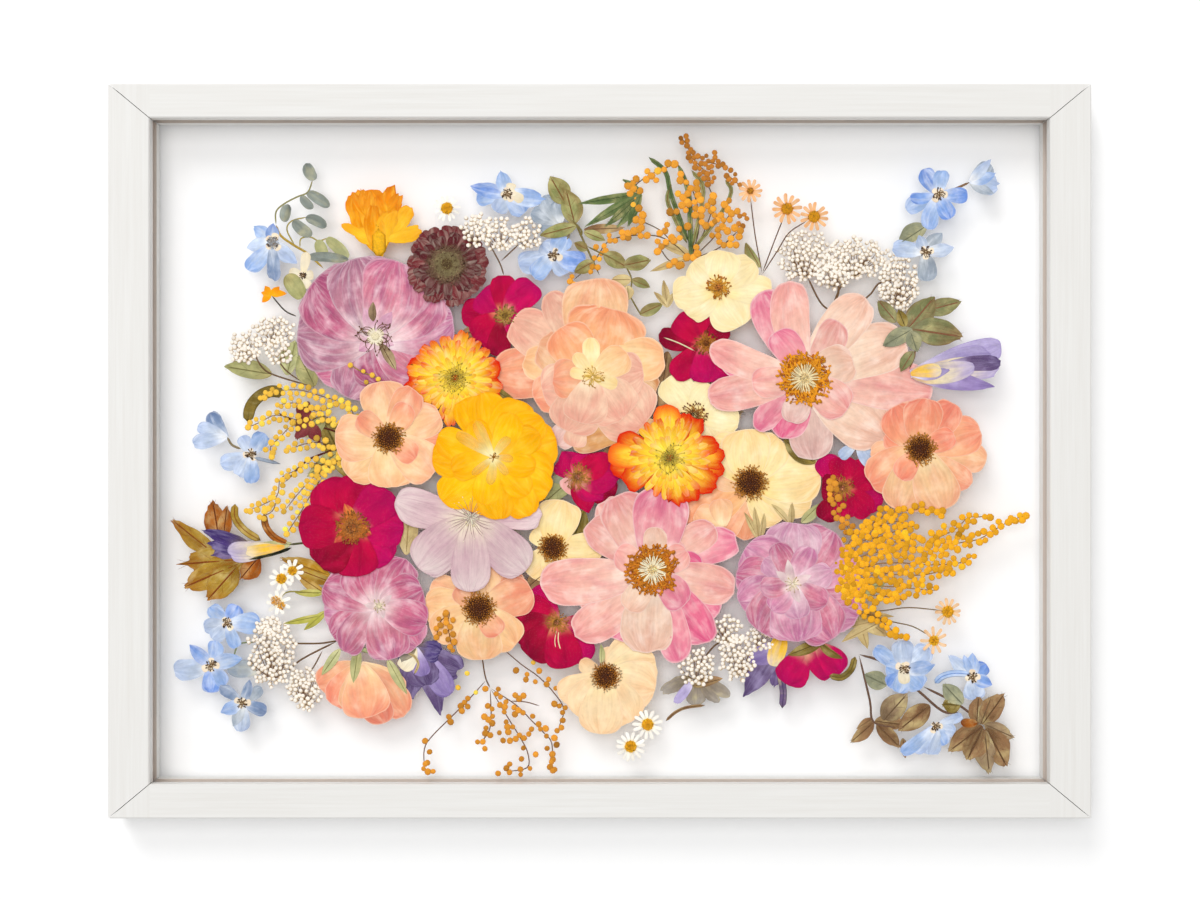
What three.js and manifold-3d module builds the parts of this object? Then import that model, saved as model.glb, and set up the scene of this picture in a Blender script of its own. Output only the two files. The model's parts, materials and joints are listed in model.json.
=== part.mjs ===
// Pressed flower frame: flowers, leaves and sprigs laid flat between two glass panes,
// held in a mitred wooden frame that hangs on a wall.
//
// The frame is built lying in its own picture plane: x to the right, y up, z towards
// the viewer, with z = 0 on the back of the rails and the centre of the sheet of
// flowers at x = 0, y = 0. At the end the whole group is stood upright, +Z up, with its
// front facing -Y and its origin at the point on the wall that the hanger rests on.
// Every length is in millimetres.
import * as THREE from "three";
import { mergeVertices } from "three/addons/utils/BufferGeometryUtils.js";
import Module from "manifold-3d";

const wasm = await Module();
wasm.setup();

// Driving dimensions of the frame.
const FRAME_WIDTH = 487;
const FRAME_HEIGHT = 364;
const FRAME_DEPTH = 24;
const SIDE_RAIL = 20.5;
const CROSS_RAIL = 17;
const EDGE_CHAMFER = 0.6;
const MITRE_SETBACK = 0.22;

// Glass: two panes held in one wide groove, kept apart by a rib along its floor.
const PANE = 2;
const PANE_GAP = 4.6;
const PLAY = 0.3;
const GROOVE_DEPTH = 5;
const RIB_SETBACK = 1.2;
const BACK_LIP = 7.4;
const GROOVE = 2 * PANE + PANE_GAP + 2 * PLAY;
const PANE_REACH = 4.2;

// Hanger: a saw-tooth plate nailed to the back of the top rail.
const HANGER = { width: 46, height: 8, thick: 1.2, teeth: 9, tooth: 2, toothed: 30 };
const NAIL = { radius: 2, head: 0.8, inset: 4, sides: 8 };

// Flowers: each lies in one of the layers between the panes. NOTCH is how far in the
// gaps between rays go, RAY_END half a ray's blunt end, SCALLOP how far in a ragged
// outline dips, and TRIM how far a corner must stand out to be kept.
const PETAL = 0.35;
const LAYER = 0.6;
const HEART_RISE = 0.5;
const RAISED_HEART = 4.5;
const HEART_SIDES = 7;
const NOTCH = 0.66;
const RAY_END = 0.3;
const TWIG = { bead: 4, stem: 1, step: 7 };
const PLUME_STEP = 8;
const SCALLOP = 0.86;
const TRIM = 0.5;
const STRETCH = 40;

const BACK_PANE_TOP = BACK_LIP + PLAY + PANE;
const CURVE_STEPS = 2;

// ---------------------------------------------------------------------------
// Outlines. Each is a closed THREE.Shape in the picture plane.

// Turns (t, v) into a point: t runs from the base (0) to the tip (1), v is the distance
// to the right of that line in millimetres.
function along(ax, ay, bx, by) {
  const length = Math.hypot(bx - ax, by - ay);
  const nx = (by - ay) / length;
  const ny = (ax - bx) / length;
  return (t, v) => [ax + t * (bx - ax) + v * nx, ay + t * (by - ay) + v * ny];
}

// An outline that is the same on both sides of its midline. Each side is a list of
// Bezier pieces, every one [t, v, t, v, t, v], from the base to the tip.
function mirrored(at, base, side) {
  const shape = new THREE.Shape();
  shape.moveTo(...at(0, -base));
  for (const [t1, v1, t2, v2, t3, v3] of side) {
    shape.bezierCurveTo(...at(t1, -v1), ...at(t2, -v2), ...at(t3, -v3));
  }
  for (let i = side.length - 1; i >= 0; i -= 1) {
    const [t1, v1, t2, v2] = side[i];
    const [t3, v3] = i > 0 ? side[i - 1].slice(4) : [0, base];
    shape.bezierCurveTo(...at(t2, v2), ...at(t1, v1), ...at(t3, v3));
  }
  return shape;
}

// Broad petal: narrow claw, full round end.
function petalShape(ax, ay, bx, by, w) {
  return mirrored(along(ax, ay, bx, by), 0.13 * w, [
    [0.2, 0.32 * w, 0.46, 0.5 * w, 0.73, 0.5 * w],
    [0.92, 0.5 * w, 1, 0.3 * w, 1, 0],
  ]);
}

// Petal with a drawn-out tip.
function pointedShape(ax, ay, bx, by, w) {
  return mirrored(along(ax, ay, bx, by), 0.14 * w, [
    [0.25, 0.5 * w, 0.62, 0.62 * w, 1, 0],
  ]);
}

// Leaf: pointed at both ends.
function leafShape(ax, ay, bx, by, w) {
  return mirrored(along(ax, ay, bx, by), 0.06 * w, [
    [0.2, 0.66 * w, 0.66, 0.66 * w, 1, 0],
  ]);
}

// Pod: rounded at both ends.
function podShape(ax, ay, bx, by, w) {
  return mirrored(along(ax, ay, bx, by), 0.04 * w, [
    [0.02, 0.36 * w, 0.2, 0.5 * w, 0.5, 0.5 * w],
    [0.8, 0.5 * w, 1, 0.34 * w, 1, 0],
  ]);
}

// Ring of narrow rays seen as one outline: every ray has a blunt end, and the notches
// between them go in to a fraction of the outer radius.
function raysShape(x, y, count, outer, width, turn) {
  const points = [];
  for (let i = 0; i < count; i += 1) {
    const middle = turn + (2 * Math.PI * i) / count;
    const half = (RAY_END * width) / outer;
    const notch = middle + Math.PI / count;
    for (const [angle, r] of [[middle - half, 1], [middle + half, 1], [notch, NOTCH]]) {
      points.push(new THREE.Vector2(
        x + r * outer * Math.cos(angle),
        y + r * outer * Math.sin(angle),
      ));
    }
  }
  return new THREE.Shape(points);
}

// Strip along a bent line, of one width or of a width that goes up and down.
function stripShape(w, line, wave = 1) {
  const left = [];
  const right = [];
  line.forEach(([x, y], i) => {
    const [px, py] = line[Math.max(i - 1, 0)];
    const [qx, qy] = line[Math.min(i + 1, line.length - 1)];
    const length = Math.hypot(qx - px, qy - py);
    const half = (i % 2 ? 0.5 : 0.5 * wave) * w;
    const nx = (half * (py - qy)) / length;
    const ny = (half * (qx - px)) / length;
    left.push(new THREE.Vector2(x + nx, y + ny));
    right.unshift(new THREE.Vector2(x - nx, y - ny));
  });
  return new THREE.Shape([...right, ...left]);
}

// Many-sided disc.
function discShape(x, y, rx, ry, sides, wave = 1) {
  const points = [];
  for (let i = 0; i < sides; i += 1) {
    const angle = (2 * Math.PI * i) / sides;
    const reach = i % 2 ? wave : 1;
    points.push(new THREE.Vector2(
      x + rx * reach * Math.cos(angle),
      y + ry * reach * Math.sin(angle),
    ));
  }
  return new THREE.Shape(points);
}

// ---------------------------------------------------------------------------
// Kinds of growth. Each returns a list of { shape, rise } pieces of one specimen.

const flat = (shape) => ({ shape, rise: 0 });
const petals = (x, y, tips) => tips.map(([bx, by, w]) => flat(petalShape(x, y, bx, by, w)));
const pointed = (x, y, tips) => tips.map(([bx, by, w]) => flat(pointedShape(x, y, bx, by, w)));
const fronds = (x, y, tips) => tips.map(([bx, by, w]) => flat(leafShape(x, y, bx, by, w)));
const leaf = (ax, ay, bx, by, w) => [flat(leafShape(ax, ay, bx, by, w))];
const pods = (list) => list.map(([ax, ay, bx, by, w]) => flat(podShape(ax, ay, bx, by, w)));
const stem = (w, line) => [flat(stripShape(w, line))];
const strap = stem;
const heart = (x, y, r) => [{
  shape: discShape(x, y, r, r, HEART_SIDES),
  rise: r > RAISED_HEART ? HEART_RISE : 0,
}];
const cluster = (x, y, rx, ry, bumps) => [flat(discShape(x, y, rx, ry, 2 * bumps, SCALLOP))];

const rays = (x, y, count, outer, w, turn) => [
  flat(raysShape(x, y, count, outer, w, THREE.MathUtils.degToRad(turn))),
];

// Points along a bent line, about one step apart, an even number of them.
function spaced(line, step) {
  const path = new THREE.Path(line.map(([x, y]) => new THREE.Vector2(x, y)));
  const pairs = Math.max(1, Math.round(path.getLength() / (2 * step)));
  return path.getSpacedPoints(2 * pairs - 1).map(({ x, y }) => [x, y]);
}

// A thin twig with beads along it, the last one at its tip.
const twig = (line) => [
  flat(stripShape(TWIG.bead, spaced(line, TWIG.step), TWIG.stem / TWIG.bead)),
];

// A side shoot so full of beads that they hide its stem.
const plume = (w, line) => [flat(stripShape(w, spaced(line, PLUME_STEP), SCALLOP))];

// ---------------------------------------------------------------------------
// Solids.

function toManifold(geometry) {
  const bare = geometry.clone();
  bare.deleteAttribute("normal");
  bare.deleteAttribute("uv");
  const merged = mergeVertices(bare, 1e-5);
  return new wasm.Manifold(new wasm.Mesh({
    numProp: 3,
    vertProperties: new Float32Array(merged.attributes.position.array),
    triVerts: new Uint32Array(merged.index.array),
  }));
}

function toGeometry(manifold) {
  const mesh = manifold.getMesh();
  const indexed = new THREE.BufferGeometry();
  indexed.setAttribute("position", new THREE.BufferAttribute(new Float32Array(mesh.vertProperties), 3));
  indexed.setIndex(new THREE.BufferAttribute(new Uint32Array(mesh.triVerts), 1));
  const geometry = indexed.toNonIndexed();
  geometry.computeVertexNormals();
  return geometry;
}

function join(geometries) {
  const [first, ...others] = geometries.map(toManifold);
  return others.reduce((sum, next) => sum.add(next), first).asOriginal();
}

// Takes out the corners of an outline that lie within the given distance of a straight
// edge. The solid is stretched while this is done, so that it keeps its thickness.
function trimmed(manifold, distance) {
  return manifold.scale([1, 1, STRETCH]).simplify(distance).scale([1, 1, 1 / STRETCH]);
}

function extruded(shape, depth, z) {
  const settings = { depth, bevelEnabled: false, curveSegments: CURVE_STEPS };
  return new THREE.ExtrudeGeometry(shape, settings).translate(0, 0, z);
}

function part(name, geometry, color, roughness, metalness) {
  const material = new THREE.MeshStandardMaterial({ color, roughness, metalness });
  const mesh = new THREE.Mesh(geometry, material);
  mesh.name = name;
  return mesh;
}

// A specimen: its pieces joined into one thin solid, lying in one layer.
function specimen(name, layer, growth) {
  const z = BACK_PANE_TOP + PLAY + layer * LAYER;
  const pieces = growth.flat().map(({ shape, rise }) => extruded(shape, PETAL + rise, z));
  return part(name, toGeometry(trimmed(join(pieces), TRIM)), COLOURS[name], 0.8, 0);
}

// ---------------------------------------------------------------------------
// Frame.

// Section of a rail: v runs inwards from the outer edge, z from the back to the front.
function railSection(width) {
  const floor = width - GROOVE_DEPTH;
  const rib = width - RIB_SETBACK;
  const ribBack = BACK_LIP + 2 * PLAY + PANE;
  const ribFront = BACK_LIP + GROOVE - 2 * PLAY - PANE;
  const points = [
    [0, 0], [width, 0], [width, BACK_LIP], [floor, BACK_LIP],
    [floor, ribBack], [rib, ribBack], [rib, ribFront], [floor, ribFront],
    [floor, BACK_LIP + GROOVE], [width, BACK_LIP + GROOVE],
    [width, FRAME_DEPTH - EDGE_CHAMFER], [width - EDGE_CHAMFER, FRAME_DEPTH],
    [EDGE_CHAMFER, FRAME_DEPTH], [0, FRAME_DEPTH - EDGE_CHAMFER],
  ];
  return new THREE.Shape(points.map(([v, z]) => new THREE.Vector2(v, z)));
}

// A rail along the top edge of a frame of the given size, its ends cut to the mitre,
// then turned to its own side.
function rail(name, length, height, width, neighbour, turn) {
  const geometry = new THREE.ExtrudeGeometry(railSection(width), { depth: length, bevelEnabled: false });
  const spots = geometry.attributes.position;
  for (let i = 0; i < spots.count; i += 1) {
    const v = spots.getX(i);
    const z = spots.getY(i);
    const end = spots.getZ(i) > length / 2 ? -1 : 1;
    const reach = length / 2 - (v * neighbour) / width - MITRE_SETBACK;
    spots.setXYZ(i, end * reach, height / 2 - v, z);
  }
  geometry.computeVertexNormals();
  geometry.rotateZ(turn);
  return part(name, geometry, 0xeeedeb, 0.45, 0);
}

function pane(name, z) {
  const width = FRAME_WIDTH - 2 * SIDE_RAIL + 2 * PANE_REACH;
  const height = FRAME_HEIGHT - 2 * CROSS_RAIL + 2 * PANE_REACH;
  const geometry = new THREE.BoxGeometry(width, height, PANE);
  return part(name, geometry.translate(0, 0, z + PANE / 2), 0xf4fbfa, 0.03, 0);
}

// The plate stands behind the rail; its teeth point down and rest on the wall's nail.
function hanger(name, y) {
  const { width, height, thick, teeth, tooth, toothed } = HANGER;
  const outline = [[-width / 2, y], [-toothed / 2, y]];
  for (let i = 0; i < teeth; i += 1) {
    const x = -toothed / 2 + (i * toothed) / teeth;
    outline.push([x + toothed / teeth / 2, y + tooth]);
    outline.push([x + toothed / teeth, y]);
  }
  outline.push([width / 2, y], [width / 2, y + height], [-width / 2, y + height]);
  const shape = new THREE.Shape(outline.map(([px, py]) => new THREE.Vector2(px, py)));
  const back = -PLAY - thick;
  const nails = [-1, 1].map((side) => extruded(
    discShape(side * (width / 2 - NAIL.inset), y + height / 2, NAIL.radius, NAIL.radius, NAIL.sides),
    NAIL.head + thick / 2,
    back - NAIL.head,
  ));
  return part(name, toGeometry(join([extruded(shape, thick, back), ...nails])), 0xb9a36a, 0.35, 1);
}

// ---------------------------------------------------------------------------
// The specimens' own colours.
const COLOURS = {
  delphinium_upper_left: 0x8fb4e6,
  daffodil: 0xf8ac16,
  mauve_bloom_upper_left: 0xb5608d,
  rice_flower_left: 0xe6dccb,
  mimosa_left: 0xf3bf3c,
  delphinium_left: 0xb7cdee,
  iris_left: 0x8f6a2a,
  feverfew_sprig: 0xc9922c,
  delphinium_lower_left: 0x9bb6e6,
  rice_flower_lower_left: 0xeadfd0,
  mauve_bloom_lower_left: 0xc0567f,
  crimson_bloom_left: 0xae0a48,
  peach_rose_left: 0xf6c49b,
  flame_mum_left: 0xee7a1e,
  yellow_bloom: 0xffb400,
  blush_cosmos: 0xe9cfd2,
  peach_rose_lower: 0xf9cb97,
  cream_bloom_centre: 0xf4e0ae,
  crimson_bloom_centre: 0xad0d52,
  garden_rose: 0xf5b694,
  crimson_rose_top: 0xb00550,
  maroon_scabiosa: 0x6a2a2c,
  daisy_top: 0xf3ead2,
  delphinium_top: 0xa9bfe9,
  rice_flower_top: 0xe9ddcb,
  leaf_sprig_top: 0x7f8f4c,
  mimosa_top: 0xf0a030,
  daisy_spray_top: 0xf0b264,
  rice_flower_top_right: 0xeadfca,
  cream_bloom_top: 0xfbe3a4,
  crimson_rose_middle: 0xa80a48,
  cream_bloom_middle: 0xf9e4b8,
  flame_mum_middle: 0xf0861c,
  peony_upper: 0xefb3a4,
  coral_rose_right: 0xf6a981,
  mimosa_right: 0xf7b11c,
  freesia_right: 0xc3b2dc,
  leaf_spray_right: 0x7d8452,
  delphinium_upper_right: 0x7fa5e8,
  crimson_bloom_right: 0xa4134f,
  mauve_bloom_right: 0xc4669a,
  buttercream_bloom: 0xfbd68f,
  peony_lower: 0xf0a8a0,
  crimson_bloom_lower: 0xa80548,
  cream_bloom_lower: 0xfbd6a0,
  daisy_pair: 0xf5efe0,
  mimosa_lower: 0xd98a1e,
  iris_lower_left: 0x4d3a78,
  peach_bud: 0xf6a67c,
  rice_flower_lower_right: 0xd8cbb8,
  iris_lower_right: 0x6a4a98,
  delphinium_lower_right: 0x8a7350,
  daisy_spray_right: 0xf0b878,
};

// ---------------------------------------------------------------------------
// The specimens, from the upper left to the lower right, with their places and sizes in
// the picture plane. Layer 0 lies next to the back pane, layer 6 nearest the viewer.
const specimens = [
  specimen("delphinium_upper_left", 0, [
    pointed(-164, 104.5, [[-174, 113, 9], [-177.5, 102, 9], [-151.5, 94, 9], [-164, 114.5, 8]]),
    petals(-164, 104.5, [[-177, 90.5, 9], [-163, 85, 7]]),
    heart(-164, 104.5, 4.5),
    stem(1.4, [[-138.5, 91.5], [-146.5, 99], [-153, 103], [-160, 108], [-162.5, 113.5]]),
    stem(1, [
      [-162.5, 113.5], [-162.5, 120], [-158.5, 124], [-152, 127.5], [-146.5, 130], [-144, 136.5],
    ]),
    stem(0.9, [[-153, 103], [-157, 111], [-154.5, 115.5], [-146.5, 117.5]]),
    stem(0.9, [[-150.5, 102], [-150, 106.5], [-145.5, 107.5], [-141, 105.5], [-136.5, 107]]),
    pods([
      [-143, 136, -147.5, 144.5, 6], [-147, 130, -135.5, 122.5, 5.5], [-150, 128, -144, 121.5, 4.5],
    ]),
    pods([
      [-158.5, 115, -156.5, 124, 5.5], [-147.5, 117.5, -137, 112.5, 5.5], [-154, 115.5, -144.5, 108, 6],
    ]),
    pods([[-141.5, 106, -137.5, 95.5, 6], [-137, 107, -126, 96.5, 6], [-147, 97.5, -126, 96, 5]]),
    petals(-149, 88, [
      [-156, 90, 5], [-153, 82.5, 5], [-146.5, 81.5, 5], [-143.5, 88, 5], [-147, 100, 5],
    ]),
    pods([[-157, 88.5, -149, 76.5, 11]]),
    stem(0.8, [[-165, 78.5], [-158, 70.5], [-152, 67.5]]),
    pointed(-165, 78.5, [
      [-169.5, 74.5, 4], [-170, 79.5, 4], [-168, 83, 4], [-156.5, 79, 4], [-160.5, 82.5, 4],
    ]),
  ]),
  specimen("daffodil", 0, [
    petals(-110.5, 99, [[-123, 131, 15], [-116, 132, 15], [-110, 129, 15], [-102.5, 134.5, 13]]),
    petals(-107, 106, [[-94.5, 123.5, 8], [-89, 111, 8]]),
    petals(-113, 104, [[-122, 111, 7], [-130, 114, 4.5]]),
    stem(9, [[-110.5, 97], [-111, 112]]),
  ]),
  specimen("mauve_bloom_upper_left", 1, [
    petals(-112.5, 57.5, [
      [-152, 59, 36], [-143.5, 86, 38], [-122, 97, 36], [-101, 95.5, 34], [-83, 85, 34],
    ]),
    petals(-112.5, 57.5, [
      [-73.5, 67, 34], [-86, 38, 26], [-106, 33, 30], [-143, 39.5, 28], [-126.5, 26.5, 26],
    ]),
    heart(-112.5, 57.5, 9),
  ]),
  specimen("rice_flower_left", 0, [
    cluster(-178, 52, 8.5, 8, 7),
    cluster(-164, 60, 11, 8, 8),
    cluster(-161, 50, 6.5, 6.5, 5),
    stem(1, [[-174, 50], [-169, 41.5], [-161.5, 37.5], [-143, 32]]),
    stem(0.8, [[-164, 50], [-158, 41], [-150, 35]]),
    leaf(-164.5, 38.5, -189, 42.5, 9.5),
    leaf(-157, 38, -152.5, 56, 9),
    leaf(-143, 32.5, -151, 48.5, 10),
  ]),
  specimen("mimosa_left", 2, [
    strap(7, [[-176.5, 14.5], [-175, 22], [-170.5, 27.5], [-164, 30], [-158.5, 28.5]]),
    twig([
      [-122, 5], [-124, 20], [-132, 25], [-141, 28], [-150, 30.5], [-158, 30.5], [-164, 30], [-170, 26.5],
    ]),
    twig([[-122, 5], [-137, 17], [-146, 14.5], [-155, 12], [-160, 7], [-165, 2], [-164, -4]]),
    twig([[-150, 15], [-162, 18], [-170, 14.5], [-177, 11.5]]),
    twig([[-122, 5], [-134, 0], [-139, 4], [-148, 3.5], [-157, 0]]),
    twig([
      [-122, 5], [-133, -7], [-145, -6], [-153, -10], [-160, -14], [-161.5, -22],
      [-168, -26.5], [-177, -30],
    ]),
    twig([[-161.5, -22], [-164, -30], [-171, -33.5]]),
    twig([
      [-122, 5], [-131, -5], [-138, -9], [-141, -16], [-146, -24], [-150, -31], [-154, -37], [-157, -42],
    ]),
    leaf(-146, 25, -151.5, 5, 7),
    leaf(-138, 18, -147.5, 6.5, 7),
  ]),
  specimen("delphinium_left", 0, [
    petals(-187, 7, [[-196, 19.5, 8], [-202, 12.5, 7], [-204.5, 4, 8]]),
    stem(1.4, [[-187, 7], [-184.5, 3], [-180, 1]]),
    petals(-175, -2, [
      [-180, 7.5, 7], [-168, 9, 9], [-190.5, -6.5, 9], [-182, -13, 8], [-175, -16.5, 8],
    ]),
    stem(2.5, [[-175, -3], [-160, -6.5]]),
    heart(-175, -1.5, 3),
  ]),
  specimen("iris_left", 0, [
    leaf(-193, -52, -216, -33.5, 9),
    leaf(-191, -44, -193.5, -24, 9),
    leaf(-189, -44, -187, -27, 7),
    leaf(-174, -54, -213, -57, 13),
    leaf(-180, -56, -210, -69, 11),
    leaf(-182, -58, -197.5, -75.5, 12),
    leaf(-171, -53, -181, -65, 9),
    strap(5, [[-170, -45], [-178, -40], [-183, -33.5], [-183, -26.5]]),
    strap(4.5, [[-156, -47], [-163, -43.5], [-167.5, -38], [-168.5, -31.5]]),
    pointed(-175, -48, [[-200.5, -39.5, 8], [-196, -52.5, 10], [-186, -52.5, 9], [-198, -46, 9]]),
    leaf(-154.5, -46.5, -182, -50, 7),
    strap(2.2, [[-154.5, -47], [-165, -50.5], [-177, -53.5]]),
    stem(1.2, [[-156, -47], [-147, -46]]),
  ]),
  specimen("feverfew_sprig", 2, [
    rays(-159.5, -64, 10, 6, 2.8, 10),
    rays(-154, -60, 10, 5.5, 2.6, 30),
    heart(-159.5, -64, 3),
    heart(-154, -60, 2.4),
    rays(-161, -76, 7, 6, 3, 20),
    heart(-161, -76, 2.6),
    leaf(-135, -62.5, -161, -53.5, 7),
    leaf(-134, -66, -155, -58, 6),
    leaf(-137, -72, -152, -62, 5),
    stem(0.9, [[-160, -74], [-155.5, -70.5], [-139, -71.5]]),
    leaf(-138, -71, -153, -71, 4),
    leaf(-137, -82, -159, -86.5, 3.5),
    leaf(-137, -80, -148.5, -90, 4),
    stem(1.2, [[-134.5, -63], [-137, -72], [-137.5, -82]]),
  ]),
  specimen("delphinium_lower_left", 0, [
    petals(-187, -87, [
      [-196, -78, 8], [-181.5, -77.5, 9], [-170, -87, 11], [-199, -88.5, 8], [-194.5, -94.5, 8],
    ]),
    petals(-187, -87, [[-182, -99, 7]]),
    heart(-187, -86.5, 3),
    petals(-195, -107.5, [[-193, -95, 8], [-214, -110, 11], [-195, -121.5, 10], [-188, -118, 7]]),
    pointed(-195, -107.5, [[-206, -97, 8], [-179, -104, 9]]),
    heart(-195, -107.5, 3),
    petals(-179.5, -126.5, [[-191, -118, 6], [-169.5, -118.5, 6], [-167, -131, 7], [-180, -141, 8]]),
    pointed(-179.5, -126.5, [[-175.5, -114, 6], [-184, -138.5, 7], [-190.5, -131.5, 8]]),
    heart(-179.5, -126.5, 3),
    pods([[-171, -109, -187, -109.5, 9]]),
    stem(1, [[-184, -104], [-181, -97], [-172.5, -96]]),
  ]),
  specimen("rice_flower_lower_left", 1, [
    cluster(-164.5, -101, 12, 17, 10),
    cluster(-166, -88, 6, 6, 5),
    cluster(-148, -119, 8.5, 11, 7),
    stem(1.2, [[-131, -95], [-140.5, -96.5], [-156, -96.5]]),
    stem(1.2, [[-131, -95], [-149.5, -104.5], [-158, -112]]),
    stem(0.9, [[-139, -100], [-144, -109], [-148, -112]]),
  ]),
  specimen("mauve_bloom_lower_left", 3, [
    petals(-110.5, -77.5, [[-138.5, -67, 22], [-124.5, -57, 20], [-97, -54, 20], [-88.5, -69, 22]]),
    petals(-110.5, -77.5, [[-86.5, -86, 18], [-91, -98, 22], [-104, -104.5, 22], [-128, -101, 16]]),
    petals(-110.5, -77.5, [[-138.5, -81, 20], [-134, -93, 18], [-111, -52, 20]]),
    heart(-110.5, -77.5, 3),
  ]),
  specimen("crimson_bloom_left", 4, [
    petals(-124, -38.5, [[-139.5, -15.5, 22], [-121, -12, 20], [-104, -20.5, 20], [-98, -39, 19]]),
    petals(-124, -38.5, [[-104.5, -55, 18], [-121, -63, 22], [-141.5, -57, 22], [-151, -38, 22]]),
    heart(-124, -38.5, 7),
  ]),
  specimen("peach_rose_left", 5, [
    petals(-105.5, 6.5, [[-109.5, 35, 24], [-93, 32, 16], [-79.5, 18.5, 18], [-80, 6, 18]]),
    petals(-105.5, 6.5, [[-83, -12, 22], [-104, -18.5, 24], [-126, -13, 20], [-132.5, 8, 24]]),
    heart(-105.5, 6.5, 7.5),
  ]),
  specimen("flame_mum_left", 4, [
    rays(-72.5, 36.5, 26, 23, 6, 4),
    rays(-72.5, 36.5, 2, 27, 14, 175),
    petals(-72.5, 36.5, [[-98, 29, 14], [-97, 42, 14], [-49, 29, 14], [-49.5, 43, 12]]),
    heart(-72.5, 36.5, 7),
  ]),
  specimen("yellow_bloom", 6, [
    petals(-53, -3, [
      [-69.5, 25.5, 17], [-59, 29.5, 20], [-38, 25, 21], [-21.5, 6, 24], [-23.5, -12, 20],
    ]),
    petals(-53, -3, [[-25, -21, 18], [-34.5, -32.5, 18], [-50, -34.5, 18], [-63.5, -31.5, 20]]),
    petals(-53, -3, [[-79, -25, 20], [-84, -3.5, 20], [-81.5, 7, 16]]),
  ]),
  specimen("blush_cosmos", 5, [
    petals(-64.5, -33.5, [[-102.5, -24.5, 19], [-91, -58.5, 22], [-65, -70.5, 20], [-37, -60, 22]]),
    petals(-64.5, -33.5, [[-28.5, -33, 14], [-85, -62.5, 12]]),
    heart(-64.5, -33.5, 2),
  ]),
  specimen("peach_rose_lower", 2, [
    petals(-60.5, -79, [[-88, -77, 20], [-84.5, -66, 14], [-41, -59, 20], [-33.5, -70, 20]]),
    petals(-60.5, -79, [[-42, -98, 20], [-59, -105, 23], [-84, -92, 18], [-60, -56, 20]]),
    heart(-60.5, -79, 8),
  ]),
  specimen("cream_bloom_centre", 1, [
    petals(-23.5, -48.5, [[-18.5, -24.5, 22], [-35, -63, 16], [-21, -60.5, 14], [-1, -60, 16]]),
    petals(-23.5, -48.5, [[2, -47.5, 16], [-33, -39, 12]]),
    heart(-23.5, -48.5, 7),
  ]),
  specimen("crimson_bloom_centre", 0, [
    pointed(-11, -13, [[-19, 0, 14], [-5, 1, 12], [11.5, -12, 20], [2, -24.5, 14], [-5.5, -31.5, 12]]),
    pointed(-11, -13, [[-27, -14, 6], [6, -1, 12]]),
    heart(-11, -13, 6.5),
  ]),
  specimen("garden_rose", 2, [
    petals(-2, 42, [[-1.5, 87, 34], [6, 72, 40], [33, 47, 22], [-26, 79.5, 16]]),
    petals(-4, 40, [[-44.5, 66, 24], [-31.5, 53, 22], [-54.5, 38, 26], [-39, 45.5, 18]]),
    petals(-4, 36, [[-29, 30.5, 24], [-33.5, 26.5, 20], [-17, 10, 26], [22, 12.5, 34], [30, 28, 24]]),
    leaf(26, 12, -16, 4.5, 10),
    petals(-10, 14, [[-13, 2, 14]]),
    heart(-3.5, 37, 4),
  ]),
  specimen("crimson_rose_top", 1, [
    petals(-47.5, 68, [[-49, 88.5, 13], [-32, 84, 16], [-60.5, 79.5, 17], [-69.5, 69.5, 15]]),
    petals(-47.5, 68, [[-63, 56, 17], [-52, 47.5, 12], [-38, 62, 14]]),
    heart(-47.5, 68, 4.4),
  ]),
  specimen("maroon_scabiosa", 3, [
    rays(-76.5, 93, 22, 21.5, 6, 8),
    rays(-76.5, 93, 18, 18.5, 6, 17),
    heart(-76.5, 93.5, 12),
  ]),
  specimen("daisy_top", 4, [
    rays(-76.5, 121.5, 13, 7, 1.8, 6),
    heart(-76.5, 121.5, 3.3),
  ]),
  specimen("delphinium_top", 0, [
    pointed(-46.5, 129, [[-50, 141, 9], [-65.5, 133, 9], [-26, 126.5, 11]]),
    petals(-46.5, 129, [[-62, 126, 9], [-52, 120, 9], [-37.5, 119, 11]]),
    heart(-46.5, 129, 4),
    petals(-19.5, 114.5, [[-28.5, 128, 9], [-21.5, 126, 8], [-34.5, 120, 9], [-30.5, 112, 8]]),
    stem(1.4, [[-20, 115], [-15.5, 109.5], [-17, 105]]),
    petals(-23, 98.5, [[-17, 108, 11], [-7, 95, 11], [-17, 88.5, 9], [-41, 94, 12], [-33.5, 87, 10]]),
    petals(-23, 98.5, [[-29.5, 104, 9]]),
    heart(-23, 98.5, 3),
  ]),
  specimen("rice_flower_top", 4, [
    cluster(-62, 110.5, 7.5, 8.5, 7),
    cluster(-50, 108.5, 9, 9, 7),
    cluster(-36.5, 108.5, 7, 8, 6),
    stem(0.9, [[-56, 105], [-50, 94], [-48, 88]]),
    stem(0.9, [[-40, 104], [-49.5, 95]]),
  ]),
  specimen("leaf_sprig_top", 1, [
    stem(1.2, [[-13, 116], [-7, 103], [0, 88]]),
    leaf(-17, 124, -25, 138, 11),
    leaf(-12.5, 114, -17, 131.5, 11),
    leaf(-11.5, 113, -30.5, 108, 7),
    leaf(-6, 101, -13, 104.5, 5),
    leaf(-3, 95, -13, 89.5, 6.5),
    leaf(-8, 111, 13, 112, 5),
    leaf(-8, 110, 3, 105.5, 5),
    stem(1.1, [[-9, 108], [-9.5, 111], [-14, 116]]),
    fronds(21, 130, [[-11, 124, 7], [-8, 113, 8], [2.5, 113, 8], [12, 112, 8]]),
    stem(1, [[-7, 103], [3, 98], [13, 93]]),
    leaf(2, 99, 14, 92, 8),
    leaf(12, 93, 26, 96, 8),
    stem(1, [[13, 93], [16, 86], [15, 78]]),
    leaf(16, 86, 5.5, 86, 6),
    leaf(16, 86, 25.5, 82, 5),
    leaf(14, 83, 14.5, 75.5, 6),
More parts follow.
